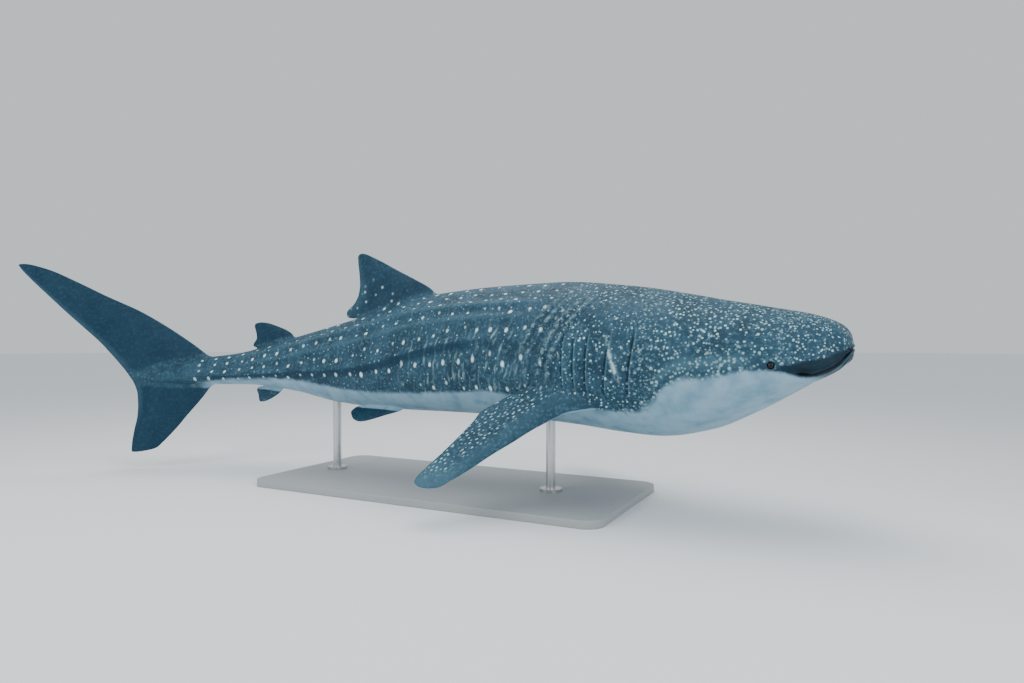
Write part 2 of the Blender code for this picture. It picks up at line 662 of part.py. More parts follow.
def make_stand(parts, body, base_material, rod_material):
    bpy.ops.mesh.primitive_cube_add(size=1, location=(BASE_X, BASE_Y, BASE_THICKNESS / 2))
    base = bpy.context.object
    base.name = "stand_base"
    for owner in list(base.users_collection):
        owner.objects.unlink(base)
    parts.objects.link(base)
    base.data.materials.append(base_material)
    build = bmesh.new()
    build.from_mesh(base.data)
    bmesh.ops.scale(build, vec=(BASE_LENGTH, BASE_WIDTH, BASE_THICKNESS), verts=build.verts)
    upright = [e for e in build.edges if abs(e.verts[0].co.z - e.verts[1].co.z) > BASE_THICKNESS / 2]
    bmesh.ops.bevel(
        build, geom=upright, offset=BASE_CORNER, segments=CORNER_FACETS, affect="EDGES", profile=0.5
    )
    build.to_mesh(base.data)
    build.free()
    for name, along in ROD_ALONG.items():
        foot = place(along, 0, 0)
        top = float(place(along, 0, float(belly_line(along)) + ROD_INTO_BELLY)[2])
        low = BASE_THICKNESS + GAP
        outline = [(0, top), (ROD_RADIUS, top), (ROD_RADIUS, low + ROD_COLLAR_HEIGHT),
                   (ROD_COLLAR_RADIUS, low + ROD_COLLAR_HEIGHT), (ROD_COLLAR_RADIUS, low), (0, low)]
        mesh = bpy.data.meshes.new(f"stand_rod_{name}")
        edges = [(at, at + 1) for at in range(len(outline) - 1)]
        mesh.from_pydata([(r, 0, z) for r, z in outline], edges, [])
        rod = bpy.data.objects.new(f"stand_rod_{name}", mesh)
        rod.location = (foot[0], foot[1], 0)
        parts.objects.link(rod)
        screw = rod.modifiers.new("turn", "SCREW")
        screw.steps = ROD_FACETS
        screw.render_steps = ROD_FACETS
        screw.use_merge_vertices = True
        screw.merge_threshold = 0.0001
        screw.use_normal_calculate = True
        combine(rod, body, "DIFFERENCE")
        settle(rod)
        rod.data.materials.append(rod_material)


def main():
    for old in list(bpy.data.objects):
        bpy.data.objects.remove(old, do_unlink=True)
    parts = bpy.data.collections.new("whale_shark")
    helpers = bpy.data.collections.new("cutters")
    for collection in (parts, helpers):
        bpy.context.scene.collection.children.link(collection)
    looks = {name: make_material(name, *values) for name, values in MATERIALS.items()}

    snout, gills, trunk, rear, stalk = ring_stations()
    whole = snout + [HEAD_END] + gills + trunk + [TORSO_SPLIT] + rear + [TORSO_END] + stalk
    body = body_length("body_cutter", whole + [STALK_END + HALF_GAP], helpers, None, grow=GAP / PERCENT)

    head = body_length("head", length_rings(0, snout, HEAD_END), parts, looks["skin"])
    body_length("torso_front", length_rings(HEAD_END, gills + trunk, TORSO_SPLIT), parts, looks["skin"])
    body_length("torso_rear", length_rings(TORSO_SPLIT, rear, TORSO_END), parts, looks["skin"])
    body_length("tail_stalk", length_rings(TORSO_END, stalk, STALK_END), parts, looks["skin"])
    head_details(head, helpers)
    make_eyes(parts, looks["eye"])

    tail = upright_fin("caudal_fin", TAIL_FIN, parts, looks["fin_skin"])
    core_rings = np.linspace(STALK_END, CORE_END, CORE_RINGS + 1)
    core_rings = [stalk[-1], STALK_END + HALF_GAP, *core_rings[1:]]
    core = body_length("tail_core", core_rings, helpers, None)
    combine(tail, core, "UNION")
    combine(tail, body, "DIFFERENCE")
    settle(tail)
    fins = []
    for name, sections in (("dorsal_fin_first", FIRST_DORSAL), ("dorsal_fin_second", SECOND_DORSAL),
                           ("anal_fin", ANAL_FIN)):
        fins.append(upright_fin(name, sections, parts, looks["fin_skin"]))
    for side, name in ((1, "left"), (-1, "right")):
        for kind, sections, left_lift in (("pectoral_fin", PECTORAL, LEFT_PECTORAL_LIFT),
                                          ("pelvic_fin", PELVIC, LEFT_PELVIC_LIFT)):
            lift = left_lift if side > 0 else 0
            fins.append(paired_fin(f"{kind}_{name}", sections, side, lift, parts, looks["fin_skin"]))
    for fin in fins:
        combine(fin, body, "DIFFERENCE")
        settle(fin)

    make_stand(parts, body, looks["stand_base"], looks["stand_rod"])
    for helper in list(helpers.objects):
        discard(helper)


main()
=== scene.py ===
# %% [markdown]
# # A whale shark as a still museum model
#
# This lesson dresses a life-size display model of a whale shark. The plain solids get one
# fine skin with folds, gills, a mouth and markings, a pair of eyes, a stand, a pale
# floor, studio light and a camera. The first cell loads the solids.

# %% Load the solids
import json
import math

import bmesh
import bpy
import numpy as np
from mathutils import Matrix, Vector

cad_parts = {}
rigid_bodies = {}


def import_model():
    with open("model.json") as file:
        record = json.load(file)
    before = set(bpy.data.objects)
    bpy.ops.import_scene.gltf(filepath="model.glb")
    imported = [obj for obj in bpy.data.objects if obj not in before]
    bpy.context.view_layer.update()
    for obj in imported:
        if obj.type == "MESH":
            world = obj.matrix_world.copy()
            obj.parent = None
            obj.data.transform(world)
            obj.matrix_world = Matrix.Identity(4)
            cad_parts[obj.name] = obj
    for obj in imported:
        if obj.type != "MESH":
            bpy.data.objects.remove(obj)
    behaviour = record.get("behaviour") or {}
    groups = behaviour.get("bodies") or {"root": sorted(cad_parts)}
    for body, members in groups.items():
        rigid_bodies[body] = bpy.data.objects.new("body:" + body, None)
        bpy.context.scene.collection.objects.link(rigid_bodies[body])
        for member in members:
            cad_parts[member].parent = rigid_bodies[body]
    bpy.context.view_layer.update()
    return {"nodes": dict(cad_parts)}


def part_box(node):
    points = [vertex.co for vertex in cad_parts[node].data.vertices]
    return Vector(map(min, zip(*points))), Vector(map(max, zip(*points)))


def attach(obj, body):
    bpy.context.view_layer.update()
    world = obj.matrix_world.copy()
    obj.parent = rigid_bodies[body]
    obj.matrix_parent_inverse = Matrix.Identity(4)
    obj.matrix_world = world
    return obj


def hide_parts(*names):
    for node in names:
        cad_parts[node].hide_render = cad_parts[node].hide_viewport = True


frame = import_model()

# %% [markdown]
# ## Sizes
#
# The skin has to follow the solids to a few millimetres, so it is built from the same
# named sizes and not from guesses. Places on the animal are (along, side, height), in
# percent of the total length: along runs from the snout tip to the tail tip, side points
# to the animal's left and height is above the body's axis.

# %% Sizes of the whole animal
TOTAL_LENGTH = 6.5
PERCENT = TOTAL_LENGTH / 100
SNOUT_X = 3.06
SNOUT_Y = -0.12
SNOUT_HEIGHT = 1.02
TAIL_DROP = 4.1
SNOUT_FRONT = 0.6
CORE_END = 85
HEADING = ((0, 0), (22, 6), (45, -1), (65, -10), (77, -23), (100, -51))
BACK_LINE = ((0.6, 0.85), (0.66, 1.22), (0.78, 1.5), (1, 1.83), (1.3, 2.12), (1.72, 2.4),
             (2.2, 2.64), (3.1, 3.0), (4, 3.28), (6.3, 3.82), (8.2, 4.27), (10.9, 4.88),
             (13.3, 5.47), (20, 6.9), (28, 7.9), (36, 8.05), (44, 7.75), (52, 6.1), (60, 4.45),
             (66, 3.2), (72, 2.0), (77, 1.6), (82, 0.9), (85.2, -0.2))
BELLY_LINE = ((0.6, -0.62), (0.75, -0.93), (0.9, -1.07), (1.57, -1.5), (2.64, -2.1),
              (4.7, -3.32), (8.2, -5.22), (12, -6.8), (16.5, -7.5), (20, -7.25), (25, -6.65),
              (36, -5.8), (50, -5.2), (57, -4.4), (63, -3.0), (70, -2.0), (77, -1.75),
              (82, -1.5), (85.2, -0.9))
HALF_WIDTH = ((0.6, 2.3), (0.68, 2.9), (0.85, 3.5), (1.15, 4.15), (1.7, 4.8), (2.6, 5.4),
              (4, 5.9), (6.5, 6.4), (12, 7.1), (19, 7.5), (28, 7.1), (40, 6.1), (50, 4.9),
              (60, 3.5), (68, 2.4), (77, 1.6), (82, 0.8), (85.2, 0.1))
WIDEST_HEIGHT = ((0.6, 0.1), (1, -0.3), (2.4, -1.15), (5, -1.28), (10, -1.1), (18, -0.8),
                 (30, -0.3), (45, 0), (60, -0.4), (70, -0.7), (85.2, -0.55))
BACK_SQUARENESS = ((0.6, 2.6), (6, 2.4), (16, 2.1), (30, 1.95), (50, 1.85), (87, 1.9))
BELLY_SQUARENESS = ((0.6, 2.7), (3, 2.9), (8, 2.4), (16, 2.15), (60, 2.0), (87, 1.9))
print("total length:", TOTAL_LENGTH, "m")


# %% Smooth curves through a few points
def smooth_curve(points):
    """A curve through a few points that doesn't swing past them between."""
    x, y = np.array(points, float).T
    step = np.diff(x)
    slope = np.diff(y) / step
    tangent = np.zeros(len(x))
    tangent[0] = slope[0]
    tangent[-1] = slope[-1]
    same_way = slope[:-1] * slope[1:] > 0
    mean = np.zeros(len(x) - 2)
    mean[same_way] = 2 / (1 / slope[:-1][same_way] + 1 / slope[1:][same_way])
    tangent[1:-1] = mean

    def value(at):
        at = np.clip(np.asarray(at, float), x[0], x[-1])
        left = np.clip(np.searchsorted(x, at, side="right") - 1, 0, len(x) - 2)
        t = (at - x[left]) / step[left]
        start = (2 * t**3 - 3 * t**2 + 1) * y[left] + (t**3 - 2 * t**2 + t) * step[left] * tangent[left]
        end = (3 * t**2 - 2 * t**3) * y[left + 1] + (t**3 - t**2) * step[left] * tangent[left + 1]
        return start + end

    return value


def blunt_curve(points):
    """The same over the square root of the way from the snout's front, which rounds the snout."""
    curve = smooth_curve([(math.sqrt(along - SNOUT_FRONT), value) for along, value in points])
    return lambda along: curve(np.sqrt(np.maximum(np.asarray(along, float) - SNOUT_FRONT, 0)))


heading = smooth_curve(HEADING)
back_line = blunt_curve(BACK_LINE)
belly_line = blunt_curve(BELLY_LINE)
half_width = blunt_curve(HALF_WIDTH)
widest_height = blunt_curve(WIDEST_HEIGHT)
back_squareness = smooth_curve(BACK_SQUARENESS)
belly_squareness = smooth_curve(BELLY_SQUARENESS)
print("deepest part:", round(float(back_line(30) - belly_line(30)) * PERCENT, 2), "m")

# %% From the animal to the room and back
SPINE_STEPS = np.linspace(0, 100, 1001)
SLIDE_ROUNDS = 20
SPINE_TURN = np.radians(heading(SPINE_STEPS))


def running_sum(values):
    strips = (values[1:] + values[:-1]) / 2 * np.diff(SPINE_STEPS)
    return np.concatenate([[0], np.cumsum(strips)])


SPINE_BACK = running_sum(np.cos(SPINE_TURN))
SPINE_LEFT = running_sum(np.sin(SPINE_TURN))


def place(along, side, height):
    """Metres in the room for places on the animal."""
    along, side, height = np.broadcast_arrays(*[np.asarray(v, float) for v in (along, side, height)])
    on_spine = np.clip(along, 0, 100)
    turn = np.radians(heading(on_spine))
    back = np.interp(on_spine, SPINE_STEPS, SPINE_BACK) + (along - on_spine) * np.cos(turn)
    left = np.interp(on_spine, SPINE_STEPS, SPINE_LEFT) + (along - on_spine) * np.sin(turn)
    x = SNOUT_X - PERCENT * (back - side * np.sin(turn))
    y = SNOUT_Y + PERCENT * (left + side * np.cos(turn))
    z = SNOUT_HEIGHT + PERCENT * (height - TAIL_DROP * on_spine / 100)
    return np.stack([x, y, z], axis=-1)


def on_the_animal(points):
    """(along, side, height) for places in metres, by sliding each point along the spine till beside it."""
    back = (SNOUT_X - points[:, 0]) / PERCENT
    left = (points[:, 1] - SNOUT_Y) / PERCENT
    along = np.clip(back, 0, 100)
    for _ in range(SLIDE_ROUNDS):
        turn = np.radians(heading(np.clip(along, 0, 100)))
        back_here = np.interp(along, SPINE_STEPS, SPINE_BACK)
        left_here = np.interp(along, SPINE_STEPS, SPINE_LEFT)
        ahead = (back - back_here) * np.cos(turn) + (left - left_here) * np.sin(turn)
        along = np.clip(along + ahead, 0, 100)
    side = -(back - back_here) * np.sin(turn) + (left - left_here) * np.cos(turn)
    height = (points[:, 2] - SNOUT_HEIGHT) / PERCENT + TAIL_DROP * along / 100
    return along, side, height


def ramp(value, start, end):
    """0 before start, 1 after end, and a smooth rise between."""
    t = np.clip((np.asarray(value, float) - start) / (end - start), 0, 1)
    return t * t * (3 - 2 * t)


def between(value, rise, fall):
    """1 from the end of a rise to the start of a fall, and 0 outside them."""
    return ramp(value, *rise) * (1 - ramp(value, *fall))


def bump(distance, width):
    """1 at no distance, fading to 0 over about this width on both sides."""
    return np.exp(-((distance / width) ** 2))


print("tail tip at:", place(100, 0, 14).round(2))

# %% [markdown]
# ## The body's sections
#
# A whale shark's head is broad and flat, its trunk is round and its tail stalk is narrow.
# Each section is drawn as a rounded square whose power changes along the body, because
# that needs only a height, a depth, a width and one number for how square it is.


# %% One section of the body
def section_parts(along, up):
    tall = np.where(up, back_line(along) - widest_height(along), widest_height(along) - belly_line(along))
    square = np.where(up, back_squareness(along), belly_squareness(along))
    return tall, square


def section_radius(along, angle):
    """How far the section reaches from its widest point's height, at an angle from straight up."""
    tall, square = section_parts(along, np.cos(angle) >= 0)
    share = np.abs(np.sin(angle) / half_width(along)) ** square + np.abs(np.cos(angle) / tall) ** square
    return share ** (-1 / square)


def line_angle(along, share):
    """The angle at which a section is at this share of its height over or under its widest."""
    tall, square = section_parts(along, share >= 0)
    wide = half_width(along) * (1 - np.abs(share) ** square) ** (1 / square)
    return np.arctan2(wide, share * tall)


print("half width at the gills:", round(float(section_radius(20, math.pi / 2)) * PERCENT, 3), "m")

# %% [markdown]
# ## Ridges and keel
#
# Three raised lines run along each flank, and the lowest grows into the keel of the tail
# stalk. They are folds of the one skin, so they are written as small heights over the
# plain section and not as separate pieces.

# %% Ridges and keel
RIDGE_TOP = smooth_curve(((0, 0.7), (30, 0.73), (77, 0.7)))
RIDGE_MIDDLE = smooth_curve(((0, 0.5), (35, 0.56), (55, 0.44), (77, 0.4)))
RIDGE_LOW = smooth_curve(((0, 0.2), (24, 0.3), (35, 0.28), (55, -0.03), (68, 0), (87, 0)))
RIDGE_LINES = (RIDGE_TOP, RIDGE_MIDDLE, RIDGE_LOW)
RIDGE_HEIGHT = 0.26
RIDGE_WIDTH = 0.6
KEEL_HEIGHT = 0.75
RIDGES_FROM = (25, 33)
RIDGES_TO = (66, 74)
KEEL_FROM = (58, 70)
STALK_END = 77


def ridge_relief(along, angle, radius):
    shown = between(along, RIDGES_FROM, RIDGES_TO)
    keel = ramp(along, *KEEL_FROM)
    total = np.zeros_like(radius)
    for index, line in enumerate(RIDGE_LINES):
        away = radius * (angle - line_angle(along, line(along)))
        height = RIDGE_HEIGHT * shown
        if index == len(RIDGE_LINES) - 1:
            height = RIDGE_HEIGHT * ramp(along, *RIDGES_FROM) * (1 - keel) + KEEL_HEIGHT * keel
            height = height * (1 - ramp(along, STALK_END, CORE_END))
        total = total + height * bump(away, RIDGE_WIDTH)
    return total


print("ridge height:", round(RIDGE_HEIGHT * PERCENT * 1000), "mm")

# %% [markdown]
# ## Mouth
#
# The mouth is a long closed slit across the blunt snout, right at its front, and its
# corners lie ahead of the eyes. A soft roll of lip runs over and under it. The groove
# is cut into the same surface, so that light catches the lips and the slit stays dark.

# %% Mouth
MOUTH_SEAM = smooth_curve(((0.6, 0.1), (0.9, -0.08), (1.32, -0.34), (1.7, -0.42), (2.43, -0.52),
                           (3.05, -0.53), (4.15, -0.28), (6, -0.3), (12, -0.4), (87, -0.5)))
LIP_OFFSET = smooth_curve(((0.6, 0.2), (0.9, 0.32), (1.4, 0.42), (2.4, 0.52), (4.2, 0.5),
                           (10, 1.0), (50, 0.9), (77, 0.4), (85.2, 0.04)))
MOUTH_CORNER = (3.9, 4.7)
MOUTH_DEPTH = 0.34
GROOVE_SHARE = 0.3
LIP_HEIGHT = 0.13
LIP_WIDTH_SHARE = 0.6


def mouth_parts(along, angle, radius):
    """Distance from the mouth line, in percent, and how much of the mouth is there."""
    away = radius * (angle - line_angle(along, MOUTH_SEAM(along)))
    return away, 1 - ramp(along, *MOUTH_CORNER)


def mouth_relief(along, angle, radius):
    away, shown = mouth_parts(along, angle, radius)
    offset = LIP_OFFSET(along)
    groove = -MOUTH_DEPTH * bump(away, offset * GROOVE_SHARE)
    width = offset * LIP_WIDTH_SHARE
    lips = LIP_HEIGHT * (bump(away - offset, width) + bump(away + offset, width))
    return shown * (groove + lips)


print("mouth groove:", round(MOUTH_DEPTH * PERCENT * 1000), "mm deep")

# %% [markdown]
# ## Gills and the folds behind them
#
# Each of the five gills is a flap of skin that lifts towards its free rear edge, with a
# slit behind it. Behind them the skin creases softly down and back over the fin's muscle.
# Flaps are a slow rise and a quick drop, which a height over the section gives directly.

# %% Gills and folds
GILL_SLITS = (16.9, 19.1, 21.1, 22.4, 23.6)
GILL_BOTTOM = (-4.0, -2.8)
GILL_TOP = (1.4, 2.8)
GILL_FLAP_LENGTH = 1.15
GILL_FLAP_HEIGHT = 0.26
GILL_SLIT_DEPTH = 0.16
GILL_FLAP_EDGE = (-0.03, 0.1)
SLIT_BEHIND = 0.15
SLIT_WIDTH = 0.1
GILL_LEAN = 0.12
GILL_LEAN_FROM = (16, 16.8)
GILL_LEAN_TO = (19.5, 22)
FOLD_STARTS = (0.0, 1.1, 2.7, 3.8)
FOLD_PLACE = 21.8
FOLD_TOP = 5
FOLD_SLANT = 0.8
FOLD_BEND = 0.05
FOLD_HEIGHT = ((-2.6, -0.6), (4.2, 6.4))
FOLD_END = (27.5, 30)
FOLD_DEPTH = 0.08
FOLD_WIDTH = 0.16
FOLD_SWELL = 0.05
SWELL_BEHIND = 0.45
SWELL_WIDTH = 0.35


def gill_window(height):
    return between(height, GILL_BOTTOM, GILL_TOP)


def gill_relief(ring, height):
    total = np.zeros_like(ring + height)
    for slit in GILL_SLITS:
        behind = ring - slit
        flap = GILL_FLAP_HEIGHT * np.clip(1 + behind / GILL_FLAP_LENGTH, 0, 1) ** 1.5
        flap = flap * (1 - ramp(behind, *GILL_FLAP_EDGE))
        total = total + flap - GILL_SLIT_DEPTH * bump(behind - SLIT_BEHIND, SLIT_WIDTH)
    return gill_window(height) * total


def gill_lean(ring, height):
    """How far forward of its ring a point lies, so that rings and slits lean together."""
    return GILL_LEAN * between(ring, GILL_LEAN_FROM, GILL_LEAN_TO) * height * gill_window(height)


def fold_line(along, height, start):
    """Distance behind one of the folds, which run down and back and stand steeper lower down."""
    under = FOLD_TOP - height
    return along - FOLD_PLACE - start - FOLD_SLANT * under + FOLD_BEND * under**2


def fold_window(along, height):
    return between(height, *FOLD_HEIGHT) * (1 - ramp(along, *FOLD_END))


def fold_relief(along, height):
    total = np.zeros_like(along + height)
    for start in FOLD_STARTS:
        behind = fold_line(along, height, start)
        total = total - FOLD_DEPTH * bump(behind, FOLD_WIDTH)
        total = total + FOLD_SWELL * bump(behind - SWELL_BEHIND, SWELL_WIDTH)
    return fold_window(along, height) * total


print("gill slits:", len(GILL_SLITS), "folds:", len(FOLD_STARTS))

# %% [markdown]
# ## Eyes, spiracles and nostrils in the skin
#
# The eye sits in a low round rim just behind the mouth's corner, with a small breathing
# hole, the spiracle, behind it. The nostrils open on the front edge of the upper lip.
# They are rims and pits in the same skin, worked out by distance from their middles,
# because cutting them with Booleans would leave sharp edges. Their places are in percent
# of the length, and their sizes are in metres.

# %% Rims and pits
EYE_ALONG = 6.1
EYE_HEIGHT = -0.95
EYE_RADIUS = 0.021
EYE_PROUD = 0.009
SPIRACLE = (7.5, -0.8)
NOSTRIL_ALONG = 0.9
NOSTRIL_OVER_WIDEST = 0.45
EYE_RIMS = ((1.12, 0.006), (1.75, 0.004))
EYE_RIM_WIDTH = 0.006
SOCKET_DEPTH = 0.016
SOCKET_EDGE = (0.55 * EYE_RADIUS, EYE_RADIUS)
SPIRACLE_PIT = {"depth": 0.012, "radius": 0.009, "rim": 0.002, "rim_at": 0.016, "rim_width": 0.005}
NOSTRIL_PIT = {"depth": 0.014, "radius": 0.01, "rim": 0.003, "rim_at": 0.02, "rim_width": 0.006}


def flank_spot(along, height, side):
    """The place on the flank at this height, and the outward direction there, in metres."""
    up = height > widest_height(along)
    reach = back_line(along) if up else belly_line(along)
    share = np.array((height - widest_height(along)) / abs(reach - widest_height(along)))
    angle = line_angle(along, share)

    def spot(a, b):
        radius = section_radius(a, b)
        return place(a, side * radius * np.sin(b), widest_height(a) + radius * np.cos(b))

    here = spot(along, angle)
    outward = np.cross(spot(along + 0.3, angle) - here, spot(along, angle + 0.05) - here)
    outward = outward / np.linalg.norm(outward)
    return here, outward if outward[1] * side > 0 else -outward


EYES = {side: flank_spot(EYE_ALONG, EYE_HEIGHT, side) for side in (1, -1)}
SPIRACLES = {side: flank_spot(*SPIRACLE, side) for side in (1, -1)}
nostril_height = float(widest_height(NOSTRIL_ALONG)) + NOSTRIL_OVER_WIDEST
NOSTRILS = {side: flank_spot(NOSTRIL_ALONG, nostril_height, side) for side in (1, -1)}


def pits_relief(points):
    """Metres to raise the skin at each point: a rim and a socket for the eye, and two small pits."""
    total = np.zeros(len(points))
    for side in (1, -1):
        away = np.linalg.norm(points - EYES[side][0], axis=1)
        for radius_share, raised in EYE_RIMS:
            total += raised * bump(away - EYE_RADIUS * radius_share, EYE_RIM_WIDTH)
        total -= SOCKET_DEPTH * (1 - ramp(away, *SOCKET_EDGE))
        for spots, pit in ((SPIRACLES, SPIRACLE_PIT), (NOSTRILS, NOSTRIL_PIT)):
            away = np.linalg.norm(points - spots[side][0], axis=1)
            total -= pit["depth"] * bump(away, pit["radius"])
            total += pit["rim"] * bump(away - pit["rim_at"], pit["rim_width"])
    return total


print("eye at:", EYES[-1][0].round(3), "facing", EYES[-1][1].round(2))

# %% [markdown]
# ## The body as a net of rings
#
# The body is a tube of rings, closer together where the detail is: at the mouth, the eyes
# and the gills. Subdividing the plain solids would round them off evenly and couldn't
# sharpen a lip, so the rings are worked out afresh from the curves.
# The points of each ring are spread by the length of skin between them.

# %% Rings and the points on them
POINTS_PER_SIDE = 200
SNOUT_ROWS_ACROSS = 60
SNOUT_BULGE = 0.08
SNOUT_LIPS_SHARE = 0.5
SNOUT_RINGS = 18
SNOUT_RING_STEP = 0.035
RING_SPACING = smooth_curve(((1, 0.045), (5.4, 0.07), (6.2, 0.045), (7.2, 0.055), (9, 0.08),
                             (16, 0.08), (26, 0.08), (34, 0.15), (87, 0.16)))
CLOSER_AT_EYE = 1.6
CLOSER_UNTIL = (8, 16)
EYE_ANGLE = 1.75
EYE_ANGLE_WIDTH = 0.45
FINE_ANGLES = 1441


def ring_places():
    """Distances of the rings from the snout, in percent."""
    rings = list(SNOUT_FRONT + (SNOUT_RING_STEP * np.arange(SNOUT_RINGS)) ** 2)
    while rings[-1] < CORE_END:
        rings.append(rings[-1] + float(RING_SPACING(rings[-1])))
    rings[-1] = CORE_END
    return np.array(rings)


def even_angles(rings):
    """Angles from the back to the belly at equal lengths of skin, a little closer at the eye and mouth."""
    fine = np.linspace(0, math.pi, FINE_ANGLES)
    angles = np.empty((len(rings), POINTS_PER_SIDE + 1))
    for row, along in enumerate(rings):
        radius = section_radius(along, fine)
        side, height = radius * np.sin(fine), radius * np.cos(fine)
        length = np.hypot(np.diff(side), np.diff(height))
        at_eye = (1 - ramp(along, *CLOSER_UNTIL)) * bump(fine[1:] - EYE_ANGLE, EYE_ANGLE_WIDTH)
        closer = 1 + CLOSER_AT_EYE * at_eye
        total = np.concatenate([[0], np.cumsum(length * closer)])
        angles[row] = np.interp(np.linspace(0, total[-1], POINTS_PER_SIDE + 1), total, fine)
    return angles


rings = ring_places()
one_side = even_angles(rings)
body_angle = np.concatenate([one_side, -one_side[:, -2:0:-1]], axis=1)
body_ring = np.repeat(rings[:, None], body_angle.shape[1], axis=1)
plain_angle = np.abs(body_angle)
plain_radius = section_radius(body_ring, plain_angle)
body_height = widest_height(body_ring) + plain_radius * np.cos(plain_angle)
body_side = plain_radius * np.sin(body_angle)
body_along = body_ring - gill_lean(body_ring, body_height)
body_relief = ridge_relief(body_ring, plain_angle, plain_radius)
body_relief += mouth_relief(body_ring, plain_angle, plain_radius)
body_relief += gill_relief(body_ring, body_height) + fold_relief(body_along, body_height)
print("rings:", len(rings), "points in a ring:", body_angle.shape[1])


# %% Close the snout and the tail end, and raise the relief
def fill_mesh(name, points, faces):
    mesh = bpy.data.meshes.new(name)
    mesh.from_pydata(np.asarray(points).tolist(), [], faces)
    mesh.validate()
    net = bmesh.new()
    net.from_mesh(mesh)
    bmesh.ops.recalc_face_normals(net, faces=net.faces)
    if net.calc_volume(signed=True) < 0:
        bmesh.ops.reverse_faces(net, faces=net.faces)
    net.to_mesh(mesh)
    net.free()
    made = bpy.data.objects.new(name, mesh)
    bpy.context.scene.collection.objects.link(made)
    return made


def point_normals(mesh):
    normals = np.empty(len(mesh.vertices) * 3, np.float32)
    mesh.vertex_normals.foreach_get("vector", normals)
    return normals.reshape(-1, 3).astype(float)


def point_places(mesh):
    places = np.empty(len(mesh.vertices) * 3, np.float32)
    mesh.vertices.foreach_get("co", places)
    return places.reshape(-1, 3).astype(float)


def build_body():
    count = body_angle.shape[1]
    half = count // 2
    grid = np.stack([body_along, body_side, body_height], axis=-1)
    faces = []
    for ring in range(len(rings) - 1):
        low = ring * count + np.arange(count)
        after = ring * count + (np.arange(count) + 1) % count
        faces += np.stack([low, after, after + count, low + count], axis=1).tolist()
    last = (len(rings) - 1) * count
    faces.append(list(range(last, last + count)))
    first = grid[0]
    base = grid.shape[0] * count
    across = SNOUT_ROWS_ACROSS
    share = np.arange(1, across) / across
    lips = SNOUT_LIPS_SHARE + (1 - SNOUT_LIPS_SHARE) * np.abs(2 * share - 1) ** 6
    extra, extra_relief = [], []
    for row in range(1, half):
        left, right = first[row], first[count - row]
        spots = left + (right - left) * share[:, None]
        spots[:, 0] -= SNOUT_BULGE * np.sin(math.pi * share) * math.sin(math.pi * row / half)
        extra.append(spots)
        extra_relief.append(body_relief[0, row] * lips)

    def corner(row, step):
        if row in (0, half) or step == 0:
            return row
        if step == across:
            return count - row
        return base + (row - 1) * (across - 1) + step - 1

    for row in range(half):
        for step in range(across):
            ring_face = [corner(row, step), corner(row, step + 1)]
            ring_face += [corner(row + 1, step + 1), corner(row + 1, step)]
            faces.append(list(dict.fromkeys(ring_face)))
    places = np.concatenate([grid.reshape(-1, 3), *extra])
    relief = np.concatenate([body_relief.ravel(), *extra_relief]) * PERCENT
    made = fill_mesh("body_net", place(*places.T), faces)
    points = point_places(made.data)
    relief += pits_relief(points)
    points += point_normals(made.data) * relief[:, None]
    made.data.vertices.foreach_set("co", points.ravel())
    made.data.update()
    return made


body_net = build_body()
print("body faces:", len(body_net.data.polygons))

# %% [markdown]
# ## Fins
#
# A shark's fin is a stiff blade: rounded in front, thickest at a third of its depth and
# thin behind. Each fin is drawn by a few sections from its root to its tip, or from tip
# to tip for the tail. A curve through them gives finer ones, closest at the tip, which is
# rounded. Both faces are made together, so that they can't cross where the blade bends.

# %% Fin tables
FIRST_DORSAL = ((4.8, 41.0, 52.0, 0.95), (5.5, 41.7, 53.1, 0.95), (5.68, 41.9, 55.3, 0.93),
                (5.95, 42.1, 56.1, 0.9), (6.4, 42.5, 56.1, 0.88), (7.4, 43.2, 55.05, 0.82),
                (8.5, 44.3, 54.4, 0.74), (9.7, 46.4, 54.2, 0.64), (11.0, 48.9, 54.3, 0.5),
                (12.2, 51.1, 54.45, 0.36), (13.0, 52.7, 54.5, 0.24), (13.4, 53.6, 54.3, 0.14))
SECOND_DORSAL = ((1.4, 63.0, 68.0, 0.55), (2.35, 63.3, 68.7, 0.55), (2.62, 63.4, 69.6, 0.53),
                 (3.0, 63.5, 69.7, 0.5), (3.9, 63.8, 69.2, 0.44), (4.6, 64.7, 69.3, 0.36),
                 (5.4, 66.6, 69.5, 0.24), (5.85, 67.9, 69.4, 0.14))
ANAL_FIN = ((-0.9, 64.6, 68.0, 0.45), (-2.1, 65.0, 68.2, 0.45), (-2.4, 65.2, 69.0, 0.42),
            (-2.7, 65.4, 69.2, 0.38), (-3.3, 66.1, 69.0, 0.3), (-3.9, 67.2, 68.9, 0.2),
            (-4.25, 68.1, 68.8, 0.13))
TAIL_FIN = ((-10.15, 84.7, 85.8, 0.12), (-9.8, 82.9, 85.85, 0.22), (-9.0, 81.9, 85.8, 0.32),
            (-7.2, 80.1, 85.5, 0.5), (-5.6, 78.7, 85.15, 0.64), (-4.2, 77.4, 85.05, 0.76),
            (-2.8, 76.2, 85.1, 0.88), (-1.6, 75.4, 85.4, 0.98), (0, 75.2, 86.3, 1.05),
            (1.5, 75.7, 87.4, 1.05), (2.7, 77.0, 88.35, 1.0), (4.2, 79.0, 89.6, 0.92),
            (6.0, 81.6, 91.35, 0.82), (8.0, 84.8, 93.3, 0.7), (10.0, 88.7, 95.15, 0.56),
            (12.0, 92.3, 96.95, 0.4), (13.5, 95.2, 98.2, 0.26), (14.3, 97.5, 98.7, 0.14))
